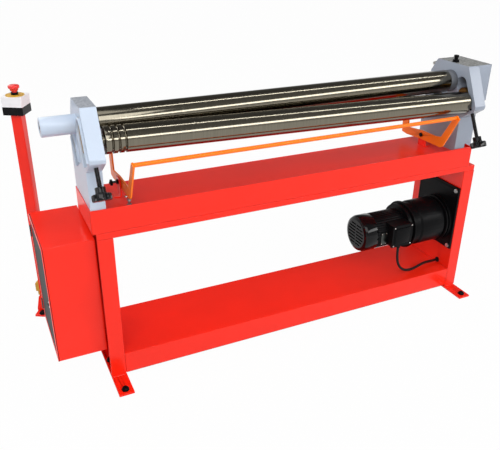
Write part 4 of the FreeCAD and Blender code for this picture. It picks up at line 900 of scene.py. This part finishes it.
def area_light(name, centre, target, size, size_y, radiance):
    data = bpy.data.lights.new(name, "AREA")
    data.shape = "RECTANGLE"
    data.size = size
    data.size_y = size_y
    data.energy = radiance * math.pi * size * size_y
    lamp = bpy.data.objects.new(name, data)
    lamp.location = centre
    lamp.rotation_mode = "QUATERNION"
    lamp.rotation_quaternion = (Vector(target) - Vector(centre)).to_track_quat("-Z", "Y")
    bpy.context.scene.collection.objects.link(lamp)


# centre and target in metres, size along and across, radiance
LAMPS = {
    "front_strip": ((2.2, -3.6, 2.35), (0.45, 0.0, 0.8), 6.4, 0.85, 6.6),
    "ceiling_strip": ((1.3, -0.45, 2.6), (1.3, -0.4, 0.0), 3.4, 0.10, 11.0),
    "front_fill": ((-1.6, -2.9, 3.1), (0.0, 0.0, 0.6), 3.0, 2.2, 3.3),
    "rear_fill": ((-1.8, 2.3, 2.8), (0.1, -0.2, 0.7), 2.2, 1.8, 3.8),
    "top_fill": ((-1.5, -0.3, 3.2), (0.0, 0.0, 0.6), 2.2, 2.2, 1.2),
}


def make_lights():
    for name, settings in LAMPS.items():
        area_light(name, *settings)


CAMERA_PLACE = Vector((-0.9929, -2.0830, 1.4859))
# radians
CAMERA_YAW = 0.442
CAMERA_PITCH = 0.459
CAMERA_ROLL = -0.011
FOCAL_PIXELS = 623.0
IMAGE_WIDTH = 500
SENSOR_WIDTH = 36.0


def make_camera():
    data = bpy.data.cameras.new("camera")
    data.sensor_width = SENSOR_WIDTH
    data.lens = FOCAL_PIXELS / IMAGE_WIDTH * SENSOR_WIDTH
    camera = bpy.data.objects.new("camera", data)
    forward = Vector((math.sin(CAMERA_YAW) * math.cos(CAMERA_PITCH),
                      math.cos(CAMERA_YAW) * math.cos(CAMERA_PITCH), -math.sin(CAMERA_PITCH)))
    level = Vector((math.cos(CAMERA_YAW), -math.sin(CAMERA_YAW), 0))
    down = forward.cross(level)
    right = level * math.cos(CAMERA_ROLL) + down * math.sin(CAMERA_ROLL)
    up = level * math.sin(CAMERA_ROLL) - down * math.cos(CAMERA_ROLL)
    turn = Matrix((right, up, -forward)).transposed()
    camera.matrix_world = Matrix.Translation(CAMERA_PLACE) @ turn.to_4x4()
    bpy.context.scene.collection.objects.link(camera)
    bpy.context.scene.camera = camera


make_floor()
make_world()
make_lights()
make_camera()
bpy.context.scene.view_settings.view_transform = "Standard"
